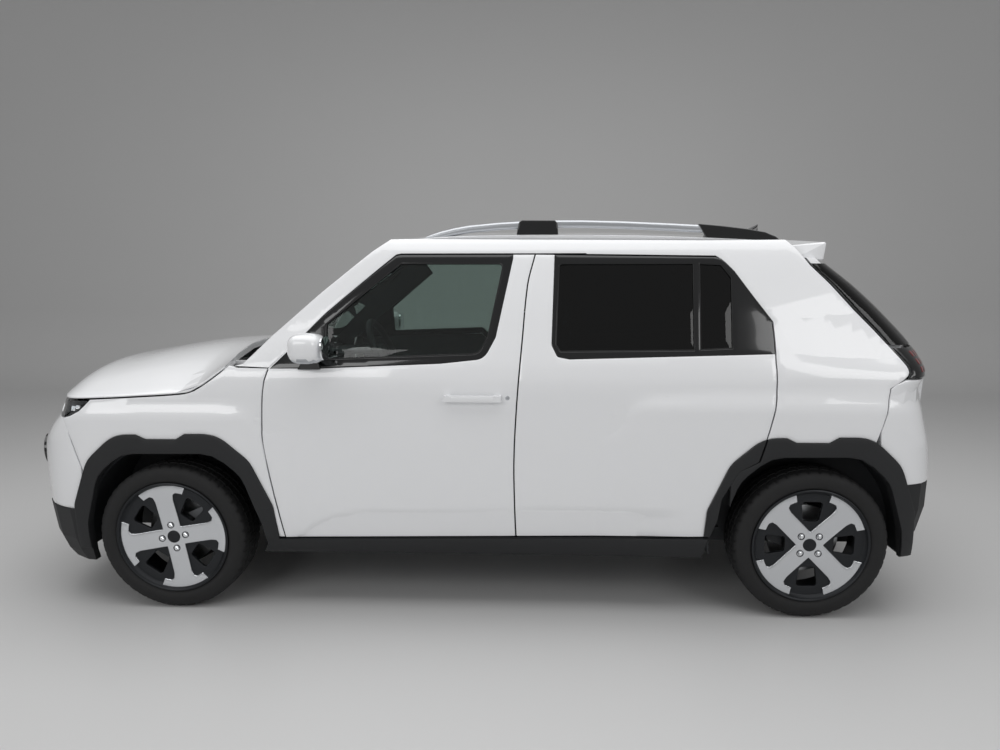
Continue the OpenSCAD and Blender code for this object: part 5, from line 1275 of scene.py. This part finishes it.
def round_lamp(side, sign):
    """A round lamp let into the bumper: bezel, reflector bowl, square cells and a clear lens."""
    t = nose_ty(LAMP_Y, LAMP_Z)
    centre = Vector(nose(t, LAMP_Z, 0))
    turn = Matrix.Rotation(LAMP_TURN, 3, "Z")

    def place(r_profile, name, mat):
        made = revolve(name, r_profile, (0, 0, 0), mat, "body", 72)
        spin = turn @ Matrix.Rotation(math.radians(-90), 3, "Z")
        for v in made.data.vertices:
            p = spin @ (v.co / MM) + centre
            v.co = Vector((p.x, sign * p.y, p.z)) * MM
        made.data.update()
        return made

    place([(66, -14), (66, 9), (63, 11), (58, 9), (56, 2), (56, -14)], "lamp_bezel_" + side, GLOSS_BLACK)
    place([(57, -26), (57, 1), (55.5, 1), (54, -14), (20, -24), (0.2, -26)], "lamp_bowl_" + side, CHROME)
    made = place([(57, 2), (57, 5), (30, 8.5), (0.2, 9.5), (0.2, 6.5), (30, 5.5), (55, 2)], "lamp_lens_" + side, LENS)
    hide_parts("front_lamps")
    for i in (-1, 0, 1):
        for j in (-1, 0, 1):
            corners = box_corners(-21, -6, i * 30 - 12, i * 30 + 12, j * 30 - 12, j * 30 + 12)
            moved = []
            for c in corners:
                p = turn @ Vector(c) + centre
                moved.append((p.x, sign * p.y, p.z))
            block("lamp_cell_%s_%d%d" % (side, i + 1, j + 1), moved, PIXEL, "body", 2)


def head_lamp(side, sign):
    surface = on_side(sign, nose_skin)
    edge = on_nose([(XF + 288, 868), (XF + 330, 830), (XF + 372, 808), (XF + 410, 800)])
    outline = edge + [(68.0 * DEG, 800), (68.0 * DEG, 868)]
    panel("head_lamp_case_" + side, surface, outline, GLOSS_BLACK, "body", thick=4, depth=12, step=14, roll=1)
    panel("head_lamp_lens_" + side, surface, inset(outline, 0.6), LENS, "body", thick=3, depth=1.4, step=14, roll=1)
    for k, (t0, t1, z0, z1) in enumerate([(75.5, 79.0, 828, 846), (80.0, 83.0, 836, 850)]):
        cell = soft_rect(t0 * DEG, t1 * DEG, z0, z1)
        panel("head_lamp_cell%d_%s" % (k, side), surface, cell, PIXEL, "body", thick=4, depth=6.5, step=20, roll=1)


PIXEL = material("lamp_pixel", "#e9edf0", 0.15, vary=0.02, Emission_Color=srgb("#ffffff"), Emission_Strength=0.35)
front_end()
for side, sign in SIDES:
    round_lamp(side, sign)
    head_lamp(side, sign)
print("front end made")

# %% [markdown]
# ## Rear end
# Dark glass wrapped into the sides, a lamp band under it, and the painted lower tailgate and bumper.

# %% Rear end
TAIL_LOW_Z, TAIL_LOW_W, TAIL_MID_W, BUMPER_LOW = 690, 560, 670, 558
GATE_T = 88.6  # degrees round the rear end that the tailgate's glass and lamp band reach


def tail_skin(a, b, depth):
    return tail(a / DEG, b, depth)


def tail_tx(x, z):
    x0 = XR - curve(TAIL_SIDE, z)
    reach = LENGTH / 2 + x0 - curve(TAIL_INSET, z)
    return math.degrees(math.acos(clamp01((x0 - x) / reach) ** (curve(TAIL_SHAPE, z) / 2)))


def on_tail(outline, sign=1):
    return [(sign * DEG * tail_tx(x, z), z) for x, z in dense(outline, 12)]


def from_y(outline):
    return [(DEG * tail_t(y, z), z) for y, z in dense(outline, 14)]


def gate_outline(g):
    return [(-TAIL_LOW_W + g, TAIL_LOW_Z + g), (TAIL_LOW_W - g, TAIL_LOW_Z + g), (TAIL_MID_W - g, 971),
            (-TAIL_MID_W + g, 971)]


def rear_end():
    plate = rect(-271, 271, 744, 866)
    painted("tailgate_skin", tail_skin, from_y(gate_outline(HALF_SHUT)), "tailgate", 18, [from_y(plate)])
    gap = from_y(gate_outline(-HALF_SHUT))
    cuts = [gap]
    for sign in (1, -1):
        split = [(XR - 312, 985), (XR - 256, 935), (XR - 246, 843), (XR - 218, 736), (XR - 202, 640), (XR - 202, 500),
                 (XR + 50, 500), (XR + 50, 985)]
        cuts += [on_tail(split, sign), on_tail(REAR_CLAD, sign)]
    whole = rect(-89 * DEG, 89 * DEG, BUMPER_LOW + 1, 966)
    loops = region(lambda p: inside(p, whole) and not any(inside(p, c) for c in cuts), whole, *cuts)
    painted("rear_bumper_skin", tail_skin, loops[0], "body", 16)

    pane = rect(-GATE_T * DEG, GATE_T * DEG, 1094, 1403)
    made = panel("rear_glass", tail_skin, pane, PRIVACY_GLASS, "tailgate", thick=5, depth=0.8, step=26, roll=1)
    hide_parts("tailgate_glass")
    clear = rounded([(DEG * tail_t(y, z), z, 30) for y, z in [(-470, 1130), (470, 1130), (400, 1376), (-400, 1376)]],
                    5)
    panel("rear_glass_frit", tail_skin, inset(pane, 3), SEAL, "tailgate", holes=[clear], thick=1.5, depth=6.2,
          step=26,
          roll=0.5)
    for k in range(9):
        z = 1150 + 25 * k
        tube("rear_heater_%d" % k, [tail(tail_t(y, z), z, 6.6) for y in steps(-430 + 4 * k, 430 - 4 * k, 20)], 0.7,
             POCKET, "tailgate", 5)

    band = rect(-GATE_T * DEG, GATE_T * DEG, 976, 1084)
    made = panel("tail_band", tail_skin, band, GLOSS_BLACK, "tailgate", thick=5, depth=0.6, step=18, roll=1.5)
    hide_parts("tail_lamps")
    for sign in (1, -1):
        for i, t in enumerate((46, 53, 60, 67, 74)):
            for j, z in enumerate((1006, 1034, 1062)):
                half = 20 if i < 4 else 16
                cell = soft_rect(sign * t * DEG - half, sign * t * DEG + half, z - 10, z + 10)
                panel("tail_cell_%s_%d%d" % ("l" if sign > 0 else "r", i, j), tail_skin, cell, RED_LENS, "tailgate",
                      thick=2.5, depth=-0.4, step=30, roll=0.8)


rear_end()
block("number_plate_rear", box_corners(XR - 490, XR - 486.4, -255, 255, 752, 858), PLATE, "tailgate", 1)
print("rear end made")

# %% [markdown]
# ## Door mirrors
# A white cap over a silver strip, on a black foot at the front corner of the window.

# %% Door mirrors
def mirror(side, sign):
    door = "front_door_" + side
    rings = [(764, 0, 1090, 30, 30), (772, 1, 1090, 44, 42), (790, 2, 1089, 56, 52), (822, 4, 1088, 63, 57),
             (862, 6, 1088, 65, 58), (892, 8, 1089, 62, 55), (910, 9, 1090, 53, 47), (920, 10, 1091, 40, 36),
             (924, 10, 1092, 22, 20)]
    made = loft("mirror_cap_" + side, [oval((XF - 626 + x, sign * y, z), (w, 0, 0), (0, 0, h), 40, 2.9)
                                       for y, x, z, w, h in rings], PAINT, door)
    made.data.materials.append(SILVER)
    made.data.materials.append(TRIM)
    for face in made.data.polygons:
        z = face.center.z / MM
        face.material_index = 2 if z < 1036 else 1 if z < 1050 else 0
    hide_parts("mirror_" + side)
    loft("mirror_glass_" + side, [oval((x, sign * 848, 1090), (0, 62 * k, 0), (0, 0, 44 * k), 40, 3.2)
                                  for x, k in ((XF - 684, 1), (XF - 689, 1), (XF - 690.5, 0.96))], CHROME, door)
    foot = [oval((XF - 610 + a, sign * y, z), (w, 0, 0), (0, 10, 0), 24, 2.6)
            for a, y, z, w in ((10, 772, 1000, 46), (6, 776, 1014, 40), (2, 786, 1030, 34), (0, 800, 1048, 32))]
    loft("mirror_foot_" + side, foot, GLOSS_BLACK, door)


for side, sign in SIDES:
    mirror(side, sign)
print("mirrors made")

# %% [markdown]
# ## Handles and wipers
# Strap handles with their recesses and locks on the front doors, and the two front wipers.

# %% Handles and wipers
def handle(side, sign):
    door = "front_door_" + side
    rings = []
    for x in steps(XF - 1353, XF - 1127, 22):
        end = min(1.0, (x - XF + 1353) / 34, (XF - 1127 - x) / 34)
        bow = math.sin(math.pi * min(1, max(0, end)) / 2)
        out = 3 + 24 * bow ** 0.8
        y = side_y(x, 890) + out - 7
        rings.append(oval((x, sign * y, 890), (0, 7, 0), (0, 0, 9 + 4 * bow), 20, 2.8))
    made = loft("door_handle_" + side, rings, PAINT, door)
    bowl = [oval((XF - 1245, sign * (side_y(XF - 1245, 888) + PROUD_SKIN + d), 884), (w, 0, 0), (0, 0, h), 40, 2.6)
            for d, w, h in ((0.1, 78, 20), (0.9, 74, 17))]
    loft("handle_recess_" + side, bowl, PAINT, door)
    x = XF - 1376.5
    lock = [oval((x, sign * (side_y(x, 892) + d), 892), (r, 0, 0), (0, 0, r), 24, 2)
            for d, r in ((-4, 9), (2.4, 9), (3.2, 7.5))]
    loft("door_lock_" + side, lock, SILVER, door)


def wiper(name, path, blade):
    tube(name + "_arm", path, [8, 7, 6, 5], TRIM, "body", 10)
    tube(name + "_blade", blade, 4.2, SEAL, "body", 8)


def on_screen(y, z, out):
    return (screen_x(y, z) + out, y, z)


for side, sign in SIDES:
    handle(side, sign)
for tag, foot, mid, tip in (("left", 440, 260, 80), ("right", -60, -220, -390)):
    wiper("wiper_" + tag, [on_screen(foot, 1018, 26), on_screen(mix(foot, mid, 0.6), 1034, 21),
                           on_screen(mid, 1054, 17),
                           on_screen(mix(mid, tip, 0.3), 1062, 13)],
          [on_screen(y, z, 7) for y, z in zip(steps(mid + 150, tip - 60, 8), steps(1034, 1080, 8))])
print("handles and wipers made")

# %% [markdown]
# ## Cabin
# Lining, pillars, door trims, dashboard and steering wheel, as far as the windows show them.

# %% Cabin
COLUMN_TILT, RIM_MIDDLE, RIM_R = math.radians(24), (XF - 830, 360, 1005), 166


def door_trim(side, sign):
    surface = on_side(sign, plain_skin)
    front = [(XF - 492, 345), (XF - 492, 985), (XF - 660, 1016), (XF - 1262, 1030), (XF - 1372, 1030),
             (XF - 1372, 345)]
    rear = [(XF - 1490, 345), (XF - 1490, 1034), (XR + 212, 1048), (XR + 212, 900), (XR + 236, 798), (XR + 346, 704),
            (XR + 470, 512), (XR + 492, 345)]
    for tag, outline in (("front", front), ("rear", rear)):
        panel("%s_door_trim_%s" % (tag, side), surface, outline, CABIN, "%s_door_%s" % (tag, side), thick=5, depth=93,
              step=60, roll=3)
        top, back_x = (1001, outline[-1][0]) if tag == "front" else (1038, XR + 216)
        strip = [[(x, sign * (side_y(x, top) - d), top + 3 * (20 < d < 90))
                  for x in steps(back_x, outline[0][0] - 2, 14)]
                 for d in (12, 24, 60, 90, 97)]
        grid("%s_door_top_%s" % (tag, side), strip, CABIN, "%s_door_%s" % (tag, side),
             [[(x, y, z - 3) for x, y, z in row] for row in strip])
        x0, x1 = outline[0][0] - 120, outline[-1][0] + 160 if tag == "front" else XR + 520
        lo, hi = min(x0, x1), max(x0, x1)
        rings = [oval((x, sign * (side_y(x, 720) - 118), 700), (0, 26 * k, 0), (0, 0, 22 * k), 20, 2.6)
                 for x, k in [(lo, 0.5), (lo + 12, 0.9), (mix(lo, hi, 0.3), 1), (mix(lo, hi, 0.7), 1), (hi - 12, 0.9),
                              (hi, 0.5)]]
        loft("%s_armrest_%s" % (tag, side), rings, CABIN, "%s_door_%s" % (tag, side))


def pillar_trim(side, sign):
    surface = on_side(sign, plain_skin)
    middle = [(XF - 1392, 330), (XF - 1394, 1000), (XF - 1440, 1400), (XF - 1520, 1400), (XF - 1478, 1000),
              (XF - 1478, 330)]
    panel("middle_pillar_trim_" + side, surface, middle, CABIN, "body", thick=4, depth=154, step=60, roll=2)
    rear = [(XR + 396, 1392), (XR + 196, 1168), (XR + 196, 900), (XR - 150, 900), (XR - 150, 1090), (XR - 80, 1240),
            (XR + 120, 1440), (XR + 396, 1470)]
    panel("rear_pillar_trim_" + side, surface, rear, CABIN, "body", thick=4, depth=121, step=60, roll=2)
    front = [(XF - 470, 1128), (XF - 652, 1288), (XF - 860, 1440), (XF - 960, 1396), (XF - 650, 1160),
             (XF - 470, 1010)]
    panel("front_pillar_trim_" + side, surface, front, CABIN, "body", thick=4, depth=121, step=60, roll=2)


def lining():
    ys = [-520, -480, -400, -250, 0, 250, 400, 480, 520]
    rows = [[(x, y, roof_z(x, y) - 24 - 14 * (abs(y) / 520) ** 6) for x in steps(XR + 160, XF - 930, 16)] for y in ys]
    back = [[(x, y, z + 4) for x, y, z in row] for row in rows]
    grid("roof_lining", rows, LINING, "body", back)
    floor = [[(x, y, 333 + 4 * math.cos(x / 90)) for x in steps(XF - 1640, XF - 700, 12)]
             for y in steps(-600, 600, 12)]
    grid("cabin_carpet", floor, CARPET, "body", [[(x, y, 331) for x, y, z in row] for row in floor])


def dash():
    """Rounded pad over the whole width, with a hood over the gauges, a screen and four vents."""
    rings = []
    for y in steps(-608, 608, 24):
        brow = 20 * ramp(190, 140, abs(y - 360))
        rings.append([(XF - 392, y, 968), (XF - 470, y, 971), (XF - 560, y, 974 + brow), (XF - 618, y, 975 + brow),
                      (XF - 641, y, 962 + brow), (XF - 646, y, 935), (XF - 640, y, 900),
                      (XF - 606, y, 790), (XF - 590, y, 755), (XF - 392, y, 758)])
    made = loft("dashboard_pad", rings, CABIN, "body")
    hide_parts("dashboard")
    block("gauge_screen", box_corners(XF - 655, XF - 640, 250, 470, 925, 985), GLOSS_BLACK, "body", 5)
    block("centre_screen", box_corners(XF - 662, XF - 646, -100, 120, 850, 950), GLOSS_BLACK, "body", 5)
    block("centre_console", box_corners(XF - 698, XF - 396, -88, 88, 334, 790), CABIN, "body", 18)
    for y in (-545, -180, 180, 545):
        block("air_vent_%s%d" % ("l" if y > 0 else "r", abs(y)),
              box_corners(XF - 652, XF - 642, y - 38, y + 38, 862, 900),
              GLOSS_BLACK, "body", 4)
    along = Vector((-math.cos(COLUMN_TILT), 0, math.sin(COLUMN_TILT)))
    start = Vector(RIM_MIDDLE)
    tube("steering_column", [tuple(start - along * d) for d in (30, 60, 140, 215)], [34, 38, 38, 30], CABIN, "body",
         20)


def steering():
    back = Vector((-math.cos(COLUMN_TILT), 0, math.sin(COLUMN_TILT)))
    up = Vector((math.sin(COLUMN_TILT), 0, math.cos(COLUMN_TILT)))
    mid = Vector(RIM_MIDDLE)
    ring = [tuple(mid + up * RIM_R * math.cos(t) + Vector((0, RIM_R * math.sin(t), 0)))
            for t in [2 * math.pi * k / 72 for k in range(73)]]
    made = tube("steering_rim", ring, 14, CABIN, "steering_wheel", 14)
    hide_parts("steering_wheel")
    hub = [oval(tuple(mid - back * d), tuple(Vector((0, w, 0))), tuple(up * h), 28, 2.6)
           for d, w, h in ((-8, 50, 40), (-2, 64, 54), (14, 64, 54), (28, 54, 46))]
    loft("steering_hub", hub, CABIN, "steering_wheel")
    for k, t in enumerate((90, 180, 270)):
        c, s = math.cos(math.radians(t)), math.sin(math.radians(t))
        out = up * c + Vector((0, s, 0))
        cross = (up * -s + Vector((0, c, 0)))
        rings = [oval(tuple(mid + out * r - back * 6), tuple(cross * w), tuple(back * 8), 16, 2.6)
                 for r, w in ((48, 26), (90, 20), (158, 17))]
        loft("steering_spoke%d" % (k + 1), rings, CABIN, "steering_wheel")


for side, sign in SIDES:
    door_trim(side, sign)
    pillar_trim(side, sign)
lining()
dash()
steering()
print("cabin made")

# %% [markdown]
# ## Seats
# Each cushion and back starts as a slim form, swells as cloth under a light pressure, then gets its channels; the
# left front cushion also gets piping.

# %% Seats
SEAT_Y, SEAT_Z = 330, 610
CLOTH_FRAMES, CLOTH_PRESSURE = 20, 4


def pad_form(name, rings):
    """A closed soft form from rings of points in millimetres."""
    return loft(name, rings, CLOTH, "body", sharp=180)


def baked(obj):
    """The mesh of obj with its modifiers in it, in place of its own."""
    shot = obj.evaluated_get(bpy.context.evaluated_depsgraph_get())
    mesh = bpy.data.meshes.new_from_object(shot)
    mesh.name = obj.name
    obj.modifiers.clear()
    obj.data = mesh
    return obj


def smoothed(obj):
    """A small pad that is only smoothed, with no cloth."""
    add_modifier(obj, "SUBSURF", levels=2, render_levels=2)
    baked(obj)
    obj.data.shade_smooth()


def swell(obj, voxel_mm=9.5, cap_mm=24.0):
    """Blows the form up as cloth, with no point moving further than the cap."""
    add_modifier(obj, "SUBSURF", levels=2, render_levels=2)
    baked(obj)
    add_modifier(obj, "REMESH", mode="VOXEL", voxel_size=voxel_mm * MM)
    baked(obj)
    start = [v.co.copy() for v in obj.data.vertices]
    cloth = obj.modifiers.new("Cloth", "CLOTH")
    cloth.settings.quality = 4
    cloth.settings.use_pressure = True
    cloth.settings.uniform_pressure_force = CLOTH_PRESSURE
    cloth.settings.effector_weights.gravity = 0
    cloth.settings.tension_stiffness = cloth.settings.compression_stiffness = 12
    cloth.settings.bending_stiffness = 6
    for frame_no in range(1, CLOTH_FRAMES + 1):
        bpy.context.scene.frame_set(frame_no)
    baked(obj)
    bpy.context.scene.frame_set(1)
    for v, old in zip(obj.data.vertices, start):
        step = v.co - old
        if step.length > cap_mm * MM:
            v.co = old + step.normalized() * cap_mm * MM
    add_modifier(obj, "SMOOTH", factor=0.5, iterations=3)
    add_modifier(obj, "SUBSURF", levels=1, render_levels=1)
    baked(obj)
    obj.data.shade_smooth()
    return obj


def channel(obj, lines, deep_mm=6.0, wide_mm=7.0):
    """Sewn channels: each line is a function of a vertex that gives its distance from the line in mm, or None."""
    for v in obj.data.vertices:
        p = v.co / MM
        for line in lines:
            d = line(p)
            if d is not None and abs(d) < 3 * wide_mm:
                v.co = v.co - v.normal * deep_mm * MM * math.exp(-(d / wide_mm) ** 2)


def piping(name, obj, loop, radius=2.6):
    """A sewn cord along a loop, laid on the nearest points of the swollen form."""
    laid = []
    for p in dense3(loop, 14):
        spot, normal = obj.closest_point_on_mesh(Vector(p) * MM)[1:3]
        laid.append(tuple((spot + normal * radius * 0.3 * MM) / MM))
    tube(name, laid + laid[:2], radius, CABIN, "body", 8)


def dense3(loop, step):
    points = []
    for a, b in zip(loop, loop[1:] + loop[:1]):
        n = max(1, math.ceil(math.dist(a, b) / step))
        points += [tuple(mix(p, q, k / n) for p, q in zip(a, b)) for k in range(n)]
    return points


def cushion_rings(x0, x1, y0, half_w, z0, z1, crown, n=12):
    """Rings across a seat cushion: pulled in at both ends, crowned in the middle, its front edge rolled over."""
    rings = []
    for k in range(n + 1):
        t = k / n
        end = min(1.0, math.sin(math.pi * t) ** 0.35 if 0 < t < 1 else 0.0)
        x = mix(x0, x1, t)
        w, h = half_w * (0.8 + 0.2 * end), (z1 - z0) / 2 * (0.55 + 0.45 * end)
        mid = (z0 + z1) / 2 + crown * math.sin(math.pi * t)
        rings.append(oval((x, y0, mid), (0, w, 0), (0, 0, h), 32, 4.2))
    return rings


def back_rings(foot, top, y0, half_low, half_high, thick_low, thick_high, n=12):
    """Rings up a seat back that leans from foot to top, both (x, z)."""
    lean = Vector((top[0] - foot[0], 0, top[1] - foot[1])).normalized()
    front = Vector((lean.z, 0, -lean.x))
    rings = []
    for k in range(n + 1):
        t = k / n
        end = math.sin(math.pi * min(1, max(0, t))) ** 0.3 if 0 < t < 1 else 0.0
        centre = (mix(foot[0], top[0], t), y0, mix(foot[1], top[1], t))
        w = mix(half_low, half_high, t) * (0.82 + 0.18 * end)
        d = mix(thick_low, thick_high, t) / 2 * (0.6 + 0.4 * end)
        rings.append(oval(centre, (0, w, 0), tuple(front * d), 32, 3.6))
    return rings


def copy_across(obj, name, shift_y):
    twin = bpy.data.objects.new(name, obj.data.copy())
    bpy.context.collection.objects.link(twin)
    for v in twin.data.vertices:
        v.co.y += shift_y * MM
    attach(twin, "body")
    return twin


def front_seats():
    x, y, z = XF - 1370, SEAT_Y, SEAT_Z - 130
    cushion = swell(pad_form("front_cushion_left", cushion_rings(x - 12, x + 478, y, 226, z + 18, z + 112, 8)))
    for v in cushion.data.vertices:
        d = abs(v.co.y / MM - y)
        side = 14 * ramp(140, 205, d) * ramp(z + 60, z + 110, v.co.z / MM)
        v.co.z += side * MM
    channel(cushion, [lambda p: abs(p.y - y) - 150 if p.z > z + 70 else None,
                      lambda p: p.x - (x + 330) if p.z > z + 70 and abs(p.y - y) < 150 else None])
    foot, top = (x - 62, z + 92), (x - 262, z + 622)
    back = swell(pad_form("front_backrest_left", back_rings(foot, top, y, 226, 176, 74, 56)), cap_mm=16)
    channel(back, [lambda p: abs(p.y - y) - 130 if p.x > mix(foot[0], top[0], (p.z - foot[1]) / 530) else None,
                   lambda p: p.z - (z + 400) if abs(p.y - y) < 130
                   and p.x > mix(foot[0], top[0], (p.z - foot[1]) / 530) else None])
    edge = [(x + 20, y - 215, z + 98), (x + 430, y - 215, z + 98), (x + 470, y - 180, z + 92),
            (x + 470, y + 180, z + 92),
            (x + 430, y + 215, z + 98), (x + 20, y + 215, z + 98)]
    piping("front_cushion_piping_left", cushion, edge)
    rest = back_rings((x - 268, z + 640), (x - 300, z + 742), y, 104, 92, 62, 48, 8)
    head = pad_form("front_headrest_left", rest)
    smoothed(head)
    for tag, dy in (("a", -55), ("b", 55)):
        for name, at in (("headrest_post_", y), ("headrest_post_right_", -y)):
            tube(name + tag, [(x - 252, at + dy, z + 590), (x - 274, at + dy, z + 660)], 5.5, SILVER, "body", 10)
    for obj in (cushion, back, head):
        copy_across(obj, obj.name.replace("left", "right"), -2 * y)
    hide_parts("front_seats")
    for s in (-1, 1):
        for dy in (-200, 160):
            block("seat_runner_%s%d" % ("l" if s > 0 else "r", 1 if dy < 0 else 2),
                  box_corners(x - 20, x + 440, s * y + dy, s * y + dy + 40, 331, 446), CABIN, "body", 4)


def rear_seat():
    x, z = XR + 400, 470
    cushion = swell(pad_form("rear_cushion", cushion_rings(x - 10, x + 478, 0, 560, z + 18, z + 112, 6)))
    channel(cushion, [lambda p: abs(p.y) - 90 if p.z > z + 70 else None,
                      lambda p: abs(p.y) - 470 if p.z > z + 70 else None])
    foot, top = (x - 42, z + 96), (x - 228, z + 586)
    back = swell(pad_form("rear_backrest", back_rings(foot, top, 0, 508, 446, 74, 56)), cap_mm=16)
    channel(back, [lambda p: abs(p.y) - 80 if p.x > mix(foot[0], top[0], (p.z - foot[1]) / 490) else None])
    for tag, y in (("left", 300), ("right", -300)):
        head = pad_form("rear_headrest_" + tag, back_rings((x - 226, z + 570), (x - 256, z + 640), y, 112, 96, 56, 46,
                                                           8))
        smoothed(head)
    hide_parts("rear_seat")
    block("rear_seat_base", box_corners(x, x + 440, -536, 536, 331, z + 30), CARPET, "body", 10)


front_seats()
rear_seat()
print("seats made")
